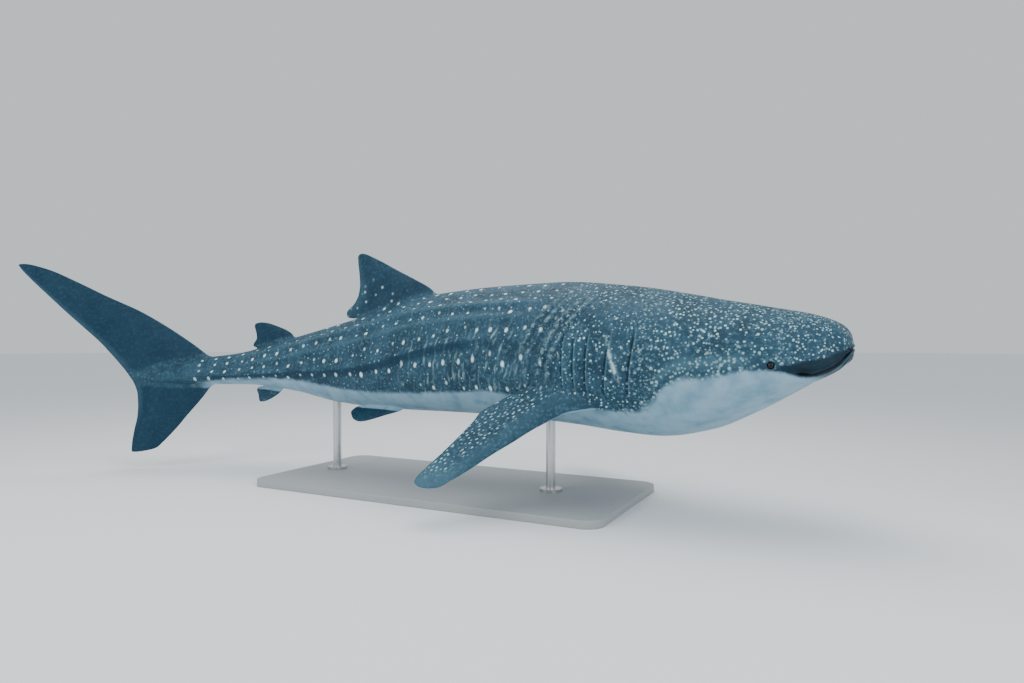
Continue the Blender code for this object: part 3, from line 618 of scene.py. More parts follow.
PECTORAL = ((4.2, 17.4, -4.3, 23.6, -0.8, 1.5), (5.4, 18.0, -4.4, 24.4, -1.1, 1.5),
            (6.3, 19.0, -4.5, 25.4, -1.6, 1.45), (6.9, 21.2, -4.65, 26.8, -2.2, 1.35),
            (7.6, 23.5, -5.05, 28.9, -3.15, 1.2), (8.8, 25.1, -5.9, 30.5, -4.1, 1.05),
            (9.7, 26.05, -6.55, 31.4, -4.8, 0.95),
            (10.5, 26.8, -7.15, 31.6, -5.5, 0.88), (12.1, 28.3, -8.25, 32.3, -6.85, 0.74),
            (13.7, 29.6, -9.35, 33.15, -8.2, 0.58), (15.0, 30.8, -10.2, 33.9, -9.25, 0.42),
            (15.9, 31.9, -10.75, 34.3, -10.0, 0.28), (16.4, 33.1, -10.8, 34.2, -10.4, 0.16))
PELVIC = ((1.2, 45.4, -4.3, 51.6, -3.9, 0.6), (1.9, 46.3, -4.9, 52.0, -4.5, 0.58),
          (2.3, 47.0, -5.3, 53.2, -4.9, 0.52), (2.9, 48.6, -5.75, 53.4, -5.3, 0.42),
          (3.5, 50.2, -6.2, 52.9, -5.8, 0.3), (3.9, 51.3, -6.45, 52.3, -6.25, 0.16))
LEFT_PECTORAL_LIFT = 0.2
LEFT_PELVIC_LIFT = 0.35
print("fins: 1 tail fin, 2 dorsal, 1 anal, 2 pectoral and 2 pelvic")

# %% Loft the fins
BLADE = smooth_curve(((0, 0), (0.012, 0.27), (0.03, 0.42), (0.12, 0.82), (0.3, 1.0), (0.52, 0.86),
                      (0.76, 0.5), (0.93, 0.2), (1, 0.06)))
BLADE_POINTS = 34
BLADE_STEPS = 1 - np.cos(np.linspace(0, math.pi / 2, BLADE_POINTS))
SPAN_STEPS = 130
SPAN_MARGIN = 0.02
TIP_LENGTH_SHARE = 0.6
TIP_THINNEST = 0.35


def loft_fin(name, leading, trailing, thickness, start_is_tip=False):
    """A closed blade through sections given by their front and rear edges, rounded at the tip."""
    leading, trailing = np.array(leading, float), np.array(trailing, float)
    middle = (leading + trailing) / 2
    way = np.concatenate([[0], np.cumsum(np.linalg.norm(np.diff(middle, axis=0), axis=1))])
    fine = way[-1] * (1 - np.cos(np.linspace(SPAN_MARGIN, math.pi - SPAN_MARGIN, SPAN_STEPS))) / 2

    def finer(values):
        return smooth_curve(list(zip(way, values)))(fine)

    front = np.stack([finer(leading[:, axis]) for axis in range(3)], axis=1)
    rear = np.stack([finer(trailing[:, axis]) for axis in range(3)], axis=1)
    thick = finer(thickness)
    backward = (rear - front) / np.linalg.norm(rear - front, axis=1)[:, None]
    tips = [(way[-1] - fine, -1)]
    if start_is_tip:
        tips.append((fine, 0))
    for from_tip, row in tips:
        radius = np.linalg.norm(trailing[row] - leading[row]) / 2
        over = np.clip(1 - from_tip / (radius * TIP_LENGTH_SHARE), 0, 1)
        open_share = np.sqrt(1 - over**2)
        front = front + backward * (radius * (1 - open_share))[:, None]
        rear = rear - backward * (radius * (1 - open_share))[:, None]
        thick = thick * (TIP_THINNEST + (1 - TIP_THINNEST) * open_share)
    chord = rear - front
    span = np.gradient(front + rear, axis=0)
    across = np.cross(chord, span)
    across /= np.linalg.norm(across, axis=1)[:, None]
    half = BLADE(BLADE_STEPS)[None, :, None] * across[:, None] * thick[:, None, None] / 2
    flat = front[:, None] + chord[:, None] * BLADE_STEPS[None, :, None]
    loop = np.concatenate([flat + half, (flat - half)[:, :0:-1]], axis=1)
    count = loop.shape[1]
    faces = []
    for row in range(SPAN_STEPS - 1):
        low = row * count + np.arange(count)
        after = row * count + (np.arange(count) + 1) % count
        faces += np.stack([low, after, after + count, low + count], axis=1).tolist()
    last = (SPAN_STEPS - 1) * count
    faces.append(list(range(count)))
    faces.append(list(range(last + count - 1, last - 1, -1)))
    return fill_mesh(name, place(*loop.reshape(-1, 3).T), faces)


def upright_fin(name, table, start_is_tip=False):
    leading = [(front, 0, height) for height, front, rear, thick in table]
    trailing = [(rear, 0, height) for height, front, rear, thick in table]
    return loft_fin(name, leading, trailing, [row[3] for row in table], start_is_tip)


def paired_fin(name, table, side, lift):
    root = table[0][0]
    leading = [(s[1], side * s[0], s[2] + lift * (s[0] - root)) for s in table]
    trailing = [(s[3], side * s[0], s[4] + lift * (s[0] - root)) for s in table]
    return loft_fin(name, leading, trailing, [row[5] for row in table])


fin_nets = [upright_fin("net_tail_fin", TAIL_FIN, start_is_tip=True),
            upright_fin("net_first_dorsal", FIRST_DORSAL),
            upright_fin("net_second_dorsal", SECOND_DORSAL), upright_fin("net_anal", ANAL_FIN)]
for side, pectoral_lift, pelvic_lift in ((1, LEFT_PECTORAL_LIFT, LEFT_PELVIC_LIFT), (-1, 0, 0)):
    fin_nets.append(paired_fin(f"net_pectoral_{side}", PECTORAL, side, pectoral_lift))
    fin_nets.append(paired_fin(f"net_pelvic_{side}", PELVIC, side, pelvic_lift))
print("fin nets:", [net.name for net in fin_nets])

# %% [markdown]
# ## One skin
#
# The fins are welded to the body with a Boolean union, so that no blade passes through the
# skin. A union leaves a sharp corner, and living skin has none, so the points near each
# join are eased towards their neighbours, most of all at the join itself.


# %% Weld the fins to the body
STEPS_PER_METRE = 1e5


def whole_steps(points):
    """Places rounded to hundredths of a millimetre, so that they can be compared."""
    return [tuple(spot) for spot in np.round(points * STEPS_PER_METRE).astype(int).tolist()]


def weld(target, others):
    """Joins the others to the target and tells which points are new, because they lie on a join."""
    known = [point_places(target.data)] + [point_places(other.data) for other in others]
    for other in others:
        union = target.modifiers.new("weld", "BOOLEAN")
        union.operation = "UNION"
        union.solver = "MANIFOLD"
        union.object = other
    graph = bpy.context.evaluated_depsgraph_get()
    mesh = bpy.data.meshes.new_from_object(target.evaluated_get(graph))
    target.modifiers.clear()
    target.data = mesh
    for other in others:
        bpy.data.objects.remove(other)
    marks = set(whole_steps(np.concatenate(known)))
    return np.array([spot not in marks for spot in whole_steps(point_places(mesh))])


skin = body_net
skin.name = "skin"
skin.data.name = "skin"
at_join = weld(skin, fin_nets)
print("points on the joins:", int(at_join.sum()))

# %% Ease the joins
JOIN_REACH = 0.045
EASING_ROUNDS = 40
EASING_STRENGTH = 0.6
FULLY_EASED_SHARE = 0.2
SPREADING_ROUNDS = 60
FAR_AWAY = 1e3


def ease(skin, at_join):
    """Moves points near the joins towards their neighbours' mean, less and less further off."""
    mesh = skin.data
    points = point_places(mesh)
    edges = np.empty(len(mesh.edges) * 2, np.int32)
    mesh.edges.foreach_get("vertices", edges)
    a, b = edges.reshape(-1, 2).T
    away = np.where(at_join, 0.0, FAR_AWAY)
    length = np.linalg.norm(points[a] - points[b], axis=1)
    for _ in range(SPREADING_ROUNDS):
        nearer = away.copy()
        np.minimum.at(nearer, a, away[b] + length)
        np.minimum.at(nearer, b, away[a] + length)
        if np.allclose(nearer, away):
            break
        away = nearer
    near = away < JOIN_REACH
    use = near[a] | near[b]
    a, b = a[use], b[use]
    share = (1 - ramp(away, FULLY_EASED_SHARE * JOIN_REACH, JOIN_REACH)) * EASING_STRENGTH
    for _ in range(EASING_ROUNDS):
        total = np.zeros_like(points)
        count = np.zeros(len(points))
        np.add.at(total, a, points[b])
        np.add.at(total, b, points[a])
        np.add.at(count, a, 1)
        np.add.at(count, b, 1)
        mean = total / np.maximum(count, 1)[:, None]
        points += (mean - points) * (share * near)[:, None]
    mesh.vertices.foreach_set("co", points.ravel())
    mesh.update()


ease(skin, at_join)
skin.data.shade_smooth()
print("skin faces:", len(skin.data.polygons))

# %% [markdown]
# ## Where the markings go
#
# The markings follow the body: spots in rows between the ridges, small ones on the head,
# none on the belly. A pattern in plain room coordinates would cut across the curve of the
# tail, so each point of the skin gets its own place on the animal as numbers that the
# material can read.

# %% Give each point its place on the animal
points = point_places(skin.data)
normals = point_normals(skin.data)
along, side, height = on_the_animal(points)
up_from_widest = height - widest_height(along)
angle = np.arctan2(np.abs(side), up_from_widest)
plain_reach = section_radius(np.minimum(along, CORE_END), angle)
tall, square = section_parts(along, up_from_widest >= 0)
share = np.clip(np.cos(angle) * plain_reach / tall, -1, 1)
beyond = np.hypot(side, up_from_widest) - plain_reach
beyond -= ridge_relief(np.minimum(along, CORE_END), angle, plain_reach)
ring = along
for _ in range(4):
    ring = along + gill_lean(ring, height)
print("points:", len(points), "furthest beyond the plain body:", round(float(beyond.max()), 2), "percent")

# %% Measure the skin from the back down
TABLE_STEPS_DOWN = 73
TABLE_RINGS = 171


def skin_length_down(along, angle):
    """Metres of skin from the back's middle down to this angle, read from a table."""
    steps = np.linspace(0, math.pi, TABLE_STEPS_DOWN)
    rings = np.linspace(SNOUT_FRONT, CORE_END, TABLE_RINGS)
    radius = section_radius(rings[:, None], steps[None, :])
    side, height = radius * np.sin(steps), radius * np.cos(steps)
    length = np.hypot(np.diff(side, axis=1), np.diff(height, axis=1))
    table = np.concatenate([np.zeros((len(rings), 1)), np.cumsum(length, axis=1)], axis=1) * PERCENT
    at = (along - SNOUT_FRONT) / (CORE_END - SNOUT_FRONT) * (len(rings) - 1)
    at = np.clip(at, 0, len(rings) - 1.001)
    down = np.clip(angle / math.pi * (len(steps) - 1), 0, len(steps) - 1.001)
    i, j = at.astype(int), down.astype(int)
    u, v = at - i, down - j
    top = table[i, j] * (1 - v) + table[i, j + 1] * v
    low = table[i + 1, j] * (1 - v) + table[i + 1, j + 1] * v
    return top * (1 - u) + low * u


down = skin_length_down(along, angle)
which_side = np.where(side < 0, 1.0, -1.0)
print("most skin from back to belly:", round(float(down.max()), 2), "m")

# %% [markdown]
# ## Rows between the ridges
#
# On the real animal the large spots stand in rows, and the ridges run between the rows.
# So each point gets a row number that is 0 on the highest ridge, negative above it and
# positive below, together with the height of one row in metres, so that a spot keeps its
# size where the rows draw together.

# %% Row numbers
ROWS_OVER_RIDGE = smooth_curve(((0, 3), (44, 3), (54, 2), (70, 1), (87, 1)))
ROW_UNDER_RIDGES = smooth_curve(((0, -0.3), (35, -0.16), (55, -0.32), (68, -0.4), (87, -0.5)))
ROW_AT_BELLY = -0.62


def row_stops(along):
    """Shares of the section's height at the row borders, from the highest ridge down."""
    lines = [line(along) for line in RIDGE_LINES]
    return lines + [ROW_UNDER_RIDGES(along), np.full_like(along, ROW_AT_BELLY), np.full_like(along, -1.0)]


stops = row_stops(along)
row = -ROWS_OVER_RIDGE(along) * (share - stops[0]) / (1 - stops[0])
row_top, row_foot = np.ones_like(along), stops[0]
rows_within = ROWS_OVER_RIDGE(along)
for number, (high, low) in enumerate(zip(stops, stops[1:])):
    inside = (share <= high) & (share > low)
    row = np.where(inside, number + (high - share) / (high - low), row)
    row_top, row_foot = np.where(inside, high, row_top), np.where(inside, low, row_foot)
    rows_within = np.where(inside, 1.0, rows_within)
safe_along = np.minimum(along, CORE_END)
top_down = skin_length_down(safe_along, line_angle(safe_along, row_top))
foot_down = skin_length_down(safe_along, line_angle(safe_along, row_foot))
row_metres = (foot_down - top_down) / rows_within
print("rows:", round(float(row.min()), 1), "to", round(float(row.max()), 1))

# %% [markdown]
# ## Masks for the parts of the skin
#
# A mask says how strongly a marking shows at each point, from 0 to 1. Each one is made of
# soft rises and falls along the body or down its side. A rise is written as a pair: where
# it starts and where it is complete. The pairs are in percent of the length, but those
# across a fin are shares of its depth, and a few near the eye and on the low flank are
# in metres. Painting masks by hand would look the same, but numbers keep both sides
# alike and are easy to change.

# %% What is fin and what is body
FIN_STARTS = (0.3, 0.7)
PECTORAL_ALONG = (14, 38)
FIRST_DORSAL_ALONG = (38, 60)
PELVIC_ALONG = (42, 58)
SECOND_DORSAL_ALONG = (60, 72)
TAIL_STARTS = (74, 78)
OVER_BACK = (0.05, 0.3)
OVER_BACK_FROM = (36, 40)


def within(value, limits):
    return (value > limits[0]) * (value < limits[1])


def fin_chord_share(table, where, front_column, rear_column):
    """How far back a point is on a fin, from 0 at its front edge to 1 at its rear."""
    across = [row[0] for row in table]
    front = np.interp(where, across, [row[front_column] for row in table])
    rear = np.interp(where, across, [row[rear_column] for row in table])
    return (along - front) / (rear - front)


off_middle = np.abs(side)
on_fin = ramp(beyond, *FIN_STARTS)
on_body = 1 - on_fin
on_pectoral = on_fin * within(along, PECTORAL_ALONG)
on_pelvic = on_fin * within(along, PELVIC_ALONG) * (height < 0)
on_first_dorsal = on_fin * within(along, FIRST_DORSAL_ALONG) * (height > 4)
on_second_dorsal = on_fin * within(along, SECOND_DORSAL_ALONG) * (height > 1)
on_tail = on_fin * ramp(along, *TAIL_STARTS)
over_back = ramp(height - back_line(safe_along), *OVER_BACK) * ramp(along, *OVER_BACK_FROM)
plain_trunk = on_body * (1 - over_back)
pectoral_share = fin_chord_share(PECTORAL, off_middle, 1, 3)
tail_share = fin_chord_share(TAIL_FIN, height, 1, 2)
dorsal_share = fin_chord_share(FIRST_DORSAL, height, 1, 2)
print("share of the points on fins:", round(float(on_fin.mean()), 2))

# %% [markdown]
# ## Belly, lips and eye
#
# The white belly ends at a line that runs level with the mouth's corner, drops behind the
# cheek and climbs to the keel. Its edge is sharp at the mouth and softer on the cheek and
# the flank. The upper lip is a band without spots, darkened with painted shade, and the
# lower lip under the mouth is darkened with painted shade too.

# %% White belly
COLOUR_BORDER = smooth_curve(((0.6, -0.8), (1.2, -1.1), (2.2, -1.6), (3.05, -1.9), (4.15, -1.8),
                              (5.2, -1.5), (7.1, -1.27), (8.7, -1.2), (12, -1.35), (13.2, -1.5),
                              (14.4, -2.2), (15, -3.0), (15.8, -3.8), (17, -4.3), (20, -4.6),
                              (24, -4.3), (26.6, -3.7), (29.5, -3.3), (33.9, -2.7), (39.4, -2.8),
                              (43.8, -2.9), (49.8, -2.75), (54.3, -2.35), (58.9, -1.6),
                              (62.1, -1.15), (68.6, -0.85), (73, -0.95), (78, -1.3), (86, -3)))
BORDER_WIDTH = 0.45
WIDER_ON_CHEEK = 0.9
WIDER_ON_FLANK = 0.4
CHEEK_BORDER = ((7.5, 10), (17, 20))
FLANK_BORDER_FROM = (28, 34)
BELLY_ENDS = (74, 80)
FACING_DOWN = (0.35, 0.8)

over_border = height - COLOUR_BORDER(along)
fading = BORDER_WIDTH + WIDER_ON_CHEEK * between(along, *CHEEK_BORDER)
fading += WIDER_ON_FLANK * ramp(along, *FLANK_BORDER_FROM)
belly = (1 - ramp(over_border, -fading, 0.3)) * on_body
belly += (on_pectoral + on_pelvic) * ramp(-normals[:, 2], *FACING_DOWN)
belly *= 1 - ramp(along, *BELLY_ENDS)
print("share of skin that is belly:", round(float(belly.mean()), 2))

# %% Lips, mouth and eye
LIP_BAND_TOP = smooth_curve(((0.6, 0.4), (0.9, 0.16), (1.3, -0.03), (2.3, -0.43), (3.05, -0.57),
                             (3.9, -0.71), (4.7, -0.9), (5.4, -1.0), (6.4, -1.3)))
LIP_BAND_EDGE = (-0.14, 0.12)
LIP_BAND_ENDS = (5.2, 6.6)
MOUTH_LINE_SHARE = 0.36
LOWER_LIP = ((0, 0.1), (0.4, 0.8))
LOWER_LIP_ENDS = (2.0, 3.6)
LIP_LINE_ENDS = (1.6, 2.6)
LIP_LINE_UNDER_MOUTH = 0.3
LIP_LINE_WIDTH = 0.07
MOUTH_CORNER_SHADE = (3.7, -1.4)
MOUTH_CORNER_SIZE = (0.6, 0.3)
EYE_SHADE_FADES = (0.024, 0.036)

mouth_away, mouth_shown = mouth_parts(safe_along, angle, plain_reach)
mouth_line = mouth_shown * bump(mouth_away, LIP_OFFSET(along) * MOUTH_LINE_SHARE) * on_body
# Painted shade darkens the lower lip under the mouth.
lower_lip_shade = mouth_shown * between(mouth_away, *LOWER_LIP) * (1 - ramp(along, *LOWER_LIP_ENDS))
lip_line = mouth_shown * bump(mouth_away - LIP_LINE_UNDER_MOUTH, LIP_LINE_WIDTH)
lip_line *= 1 - ramp(along, *LIP_LINE_ENDS)
# The upper lip carries no spots and is darkened with painted shade.
shaded_lip_band = 1 - ramp(height - LIP_BAND_TOP(along), *LIP_BAND_EDGE)
shaded_lip_band *= 1 - ramp(along, *LIP_BAND_ENDS)
corner_shade = bump(along - MOUTH_CORNER_SHADE[0], MOUTH_CORNER_SIZE[0])
corner_shade *= bump(height - MOUTH_CORNER_SHADE[1], MOUTH_CORNER_SIZE[1])
eye_away = np.minimum(*[np.linalg.norm(points - EYES[s][0], axis=1) for s in (1, -1)])
eye_shade = 1 - ramp(eye_away, *EYE_SHADE_FADES)
print("share of skin that is dark lip:", round(float(shaded_lip_band.mean()), 3))

# %% [markdown]
# ## Spots, bars and bands
#
# Each kind of spot has its own stretch of the body: tiny on the snout, a little larger on
# the head and over the gills, and in rows behind them. A painted shadow band runs under the
# lowest ridge, and broken upright bars cross the low flank behind the gills.

# %% Spots on the head and over the gills
HEAD_STARTS = (4, 7)
GILLS_START = (14, 18)
GILLS_END = (23, 27)
CHEEK_ALONG = ((6, 9), (17, 19))
CHEEK_HEIGHT = (-1.6, 0.2)
CHEEK_STRENGTH = 0.7
HEAD_SPOTS_YIELD = 0.45
CHEEK_GLOW_ALONG = ((6.5, 9), (14, 17))
CHEEK_GLOW_OVER_BORDER = 0.7
CHEEK_GLOW_WIDTH = 0.6

off_the_lip = (1 - np.clip(shaded_lip_band, 0, 1)) * on_body
snout_spots = (1 - ramp(along, *HEAD_STARTS)) * off_the_lip
head_spots = between(along, HEAD_STARTS, GILLS_START) * off_the_lip
gill_spots = between(along, GILLS_START, GILLS_END) * on_body
cheek_spots = CHEEK_STRENGTH * between(along, *CHEEK_ALONG) * ramp(-height, *CHEEK_HEIGHT) * on_body
head_spots *= 1 - HEAD_SPOTS_YIELD * cheek_spots
cheek_glow = bump(over_border - CHEEK_GLOW_OVER_BORDER, CHEEK_GLOW_WIDTH)
cheek_glow *= between(along, *CHEEK_GLOW_ALONG) * on_body
print("head spots end", GILLS_START[1], "percent behind the snout")

# %% Rows, bars and the painted shadow under the lowest ridge
ROWS_ALONG = ((22, 28), (76, 78))
SHADOW_UNDER_RIDGE = ((-0.12, 0.12), (0.6, 1.1))
SHADOW_ALONG = ((29, 38), (72, 79))
LOW_FLANK = ((0.45, 0.6), (0.9, 1.05))
BARS_ALONG = ((26, 30), (66, 74))
BARS_WEAKEN = (38, 48)
BARS_ELSEWHERE = 0.15
DOTS_ALONG = ((22, 27), (66, 77))
LOW_ROWS = (2.9, 3.1)
LOW_ROWS_END = (40, 46)

# A painted shadow under the lowest ridge, dark at the ridge and fading downward. Bars and dots fade inside
# it.
under_ridge = plain_reach * (angle - line_angle(safe_along, RIDGE_LOW(safe_along)))
ridge_shadow = between(under_ridge, *SHADOW_UNDER_RIDGE) * between(along, *SHADOW_ALONG) * on_body
off_the_shadow = 1 - 0.8 * ridge_shadow
row_spots = between(along, *ROWS_ALONG) * plain_trunk
row_spots *= 1 - ramp(row, *LOW_ROWS) * ramp(along, *LOW_ROWS_END)
strongest = between(down, *LOW_FLANK) * (1 - ramp(along, *BARS_WEAKEN))
bars = between(along, *BARS_ALONG) * plain_trunk * off_the_shadow
bars *= BARS_ELSEWHERE + (1 - BARS_ELSEWHERE) * strongest
small_dots = between(along, *DOTS_ALONG) * plain_trunk * off_the_shadow
print("rows of spots end", ROWS_ALONG[1][1], "percent behind the snout")

# %% Fins
PECTORAL_SPOTS_FROM = (0.2, 0.34)
PECTORAL_SPOTS_END = (14.8, 16)
PECTORAL_MARGIN_ENDS = (0.2, 0.36)
PECTORAL_TIP_FROM = (13.5, 15.5)
DORSAL_SPOTS_FROM = (0.2, 0.45)
DORSAL_SPOTS_END = (8.2, 11)
DORSAL_EDGE_FROM = (0.82, 1)
TAIL_EDGE_FROM = (0.9, 0.985)
TAIL_EDGE_HEIGHT = (-8, -3)

pectoral_spots = on_pectoral * ramp(pectoral_share, *PECTORAL_SPOTS_FROM)
pectoral_spots *= 1 - ramp(off_middle, *PECTORAL_SPOTS_END)
pectoral_margin = on_pectoral * (1 - ramp(pectoral_share, *PECTORAL_MARGIN_ENDS))
pectoral_tip = on_pectoral * ramp(off_middle, *PECTORAL_TIP_FROM)
dorsal_spots = on_first_dorsal * ramp(dorsal_share, *DORSAL_SPOTS_FROM)
dorsal_spots *= 1 - ramp(height, *DORSAL_SPOTS_END)
fin_edge = on_tail * ramp(tail_share, *TAIL_EDGE_FROM) * ramp(height, *TAIL_EDGE_HEIGHT)
fin_edge += on_first_dorsal * ramp(dorsal_share, *DORSAL_EDGE_FROM)
dark_fin = np.clip(on_tail + on_second_dorsal + 0.75 * on_first_dorsal + 0.8 * on_pelvic, 0, 1)
print("share of skin that is dark fin:", round(float(dark_fin.mean()), 2))

# %% Ridges, gills and folds
RIDGE_HIGHLIGHT_ALONG = ((27, 34), (66, 76))
STREAK_PLACE = (19.25, 1.67)
STREAK_SLOPE = 0.3
STREAK_HEIGHT = ((-2.4, -1.4), (1.3, 2.2))
STREAK_WIDTH = 0.16
RIDGE_HIGHLIGHT_WIDTH = 0.25
GILL_SHADE_WIDTH = 0.13
GILL_SHADE_FADES = (-1.5, 1.0)
GILL_EDGE_AHEAD = 0.05
GILL_EDGE_WIDTH = 0.09
FOLD_SHADE_WIDTH = 0.2
FOLD_LIGHT_BEHIND = 0.55
FOLD_LIGHT_WIDTH = 0.3

# Painted highlights along the crests of the two upper ridges.
ridge_highlight = np.zeros_like(along)
for line in RIDGE_LINES[:2]:
    ridge_away = plain_reach * (angle - line_angle(safe_along, line(safe_along)))
    ridge_highlight += bump(ridge_away, RIDGE_HIGHLIGHT_WIDTH)
ridge_highlight *= between(along, *RIDGE_HIGHLIGHT_ALONG) * on_body
streak_line = STREAK_PLACE[0] + (height - STREAK_PLACE[1]) * STREAK_SLOPE
pale_streak = bump(along - streak_line, STREAK_WIDTH) * between(height, *STREAK_HEIGHT) * on_body
gill_shade, gill_edge = np.zeros_like(along), np.zeros_like(along)
for number, slit in enumerate(GILL_SLITS):
    fades_upward = 1 - 0.65 * ramp(height, *GILL_SHADE_FADES) * (number > 0)
    gill_shade += bump(ring - slit - SLIT_BEHIND, GILL_SHADE_WIDTH) * fades_upward
    gill_edge += bump(ring - slit + GILL_EDGE_AHEAD, GILL_EDGE_WIDTH)
gill_shade = np.clip(gill_shade, 0, 1) * gill_window(height) * on_body
gill_edge = np.clip(gill_edge, 0, 1) * gill_window(height) * on_body
fold_shade, fold_light = np.zeros_like(along), np.zeros_like(along)
for start in FOLD_STARTS:
    fold_shade += bump(fold_line(along, height, start), FOLD_SHADE_WIDTH)
    fold_light += bump(fold_line(along, height, start) - FOLD_LIGHT_BEHIND, FOLD_LIGHT_WIDTH)
fold_shade *= fold_window(along, height) * on_body
fold_light *= fold_window(along, height) * on_body
print("masks ready")


# %% Store numbers on the skin
def store(name, values):
    values = np.asarray(values, np.float32)
    kind = "FLOAT" if values.ndim == 1 else "FLOAT_VECTOR"
    made = skin.data.attributes.new(name, kind, "POINT")
    made.data.foreach_set("value" if values.ndim == 1 else "vector", values.ravel())


MASKS = {"belly": belly, "mouth_line": mouth_line, "shaded_lip_band": shaded_lip_band, "lower_lip_shade": lower_lip_shade,
         "lip_line": lip_line, "corner_shade": corner_shade, "eye_shade": eye_shade,
         "snout_spots": snout_spots, "head_spots": head_spots, "gill_spots": gill_spots,
         "cheek_spots": cheek_spots, "cheek_glow": cheek_glow, "row_spots": row_spots,
         "bars": bars, "small_dots": small_dots, "ridge_shadow": ridge_shadow,
         "ridge_highlight": ridge_highlight, "pale_streak": pale_streak, "gill_shade": gill_shade,
         "gill_edge": gill_edge, "fold_shade": fold_shade, "fold_light": fold_light,
         "pectoral_spots": pectoral_spots, "pectoral_margin": pectoral_margin,
         "pectoral_tip": pectoral_tip, "dorsal_spots": dorsal_spots, "fin_edge": fin_edge,
         "dark_fin": dark_fin}
for name, values in MASKS.items():
    store(name, values)
print("masks on the skin:", len(MASKS))

# %% [markdown]
# ## Places for the patterns
#
# A pattern needs a place to start from as well as a mask. Each kind of marking gets the
# one that suits it: the straightened body in metres for clouds and the head's spots,
# metres of skin for bars, row numbers for the large spots, and the blade's own length and
# depth for the spots on a fin, so that they lie along it.

# %% Store places on the skin
SPOT_STRETCH = 0.45
STRETCHED_ROWS = (0.9, 2.2)
STRETCH_ENDS = (46, 60)
BAR_SLANT = 0.12
SLANT_AT_GILLS = 0.25
SLANT_ENDS = (28, 36)
PECTORAL_BACKWARD = (0.66, -0.32, 0.68)
PECTORAL_OUTWARD = (0.7, 0.59, -0.4)
SIDES_APART = 3

nothing = np.zeros_like(along)
metres_along = along * PERCENT
store("skin_place", np.stack([metres_along, down * which_side, nothing], axis=1))
store("solid_place", np.stack([along, side, height], axis=1) * PERCENT)
store("row_place", np.stack([metres_along, row, nothing], axis=1))
spot_stretch = 1 + SPOT_STRETCH * ramp(row, *STRETCHED_ROWS) * (1 - ramp(along, *STRETCH_ENDS))
store("row_size", np.stack([nothing + 1, row_metres / spot_stretch, nothing], axis=1))
slant = SLANT_AT_GILLS * (1 - ramp(along, *SLANT_ENDS)) + BAR_SLANT
bar_along = metres_along + slant * height * PERCENT
store("bar_place", np.stack([bar_along, down * which_side, nothing], axis=1))
on_blade = np.stack([along, off_middle, height], axis=1) * PERCENT
fin_back = on_blade @ PECTORAL_BACKWARD
fin_out = on_blade @ PECTORAL_OUTWARD
store("pectoral_place", np.stack([fin_back, fin_out, which_side * SIDES_APART], axis=1))
store("dorsal_place", np.stack([metres_along, height * PERCENT, which_side * SIDES_APART], axis=1))
print("numbers stored on the skin:", len(skin.data.attributes))

# %% [markdown]
# ## Materials
#
# Colours are written as sRGB hex, the way a paint chart gives them, and one function turns
# them to the linear values that Blender computes with. One small function adds a node
# with its settings and its links, and gives back one of its outputs.


# %% Material helpers
def linear(colour):
    values = [int(colour[at:at + 2], 16) / 255 for at in (1, 3, 5)]
    return (*[v / 12.92 if v <= 0.04045 else ((v + 0.055) / 1.055) ** 2.4 for v in values], 1)


def new_material(name):
    made = bpy.data.materials.new(name)
    made.use_nodes = True
    return made, made.node_tree, made.node_tree.nodes["Principled BSDF"]


def add(tree, kind, inputs=None, out=0, **settings):
    """Adds a node, sets its settings, sets or links its inputs, and gives back one of its outputs."""
    node = tree.nodes.new(kind)
    for name, value in settings.items():
        setattr(node, name, value)
    for name, value in (inputs or {}).items():
        if isinstance(value, bpy.types.NodeSocket):
            tree.links.new(value, node.inputs[name])
        else:
            node.inputs[name].default_value = value
    return node.outputs[out]


print("helpers ready")

# %% [markdown]
# ## The skin's finish
#
# The real skin is dark slate grey, covered in tooth-like scales too small to see, so it
# looks like wet suede: a soft sheen without a mirror. Painted fibreglass under a satin
# coat gives a museum model the same look. Darker clouds about 160 mm wide and paler flecks
# about 20 mm wide lie over the slate, because no part of the real back is one flat tone.

# %% Skin: slate back with soft clouds
skin_paint, tree, surface = new_material("wet_denticle_skin")
SLATE_DARK = linear("#193747")
SLATE = linear("#2b4c5e")
# The pale slate of the flecks and fin edges, which also paints the highlights on the ridges.
SLATE_PALE_AND_HIGHLIGHT = linear("#5a8496")
SPOT_PALE = linear("#b4d8de")
SPOT_BRIGHT = linear("#d9f1f1")
# The fins' own dark colour. The same dark also paints the shadow under the lowest ridge and the shade in
# the folds.
FIN_DARK_AND_SHADE = linear("#0f3045")
# The belly is white, but here it is painted a darker blue-grey as painted shade. Its stains are darkened
# the same way.
SHADED_BELLY = linear("#8aacbe")
SHADED_BELLY_STAINS = linear("#6b91a7")
# Painted shade for the upper and lower lips.
LIP_SHADE = linear("#0b2331")
SHADE_DARK = linear("#08151e")
CLOUD_SIZE = 0.16
FLECK_SIZE = 0.02
FLECK_STRENGTH = 0.38


def clouds(place_name, size, low, high, detail=3.0, stretch=(1, 1, 1)):
    """Soft patches about this many metres across: 0 below the low level and 1 above the high one."""
    where = add(tree, "ShaderNodeAttribute", out="Vector", attribute_name=place_name)
    where = add(tree, "ShaderNodeMapping", {"Vector": where, "Scale": [1 / value for value in stretch]})
    noise = add(tree, "ShaderNodeTexNoise", {"Vector": where, "Scale": 1 / size, "Detail": detail,
                                             "Roughness": 0.55})
    return add(tree, "ShaderNodeMapRange", {"Value": noise, "From Min": low, "From Max": high},
               interpolation_type="SMOOTHSTEP")


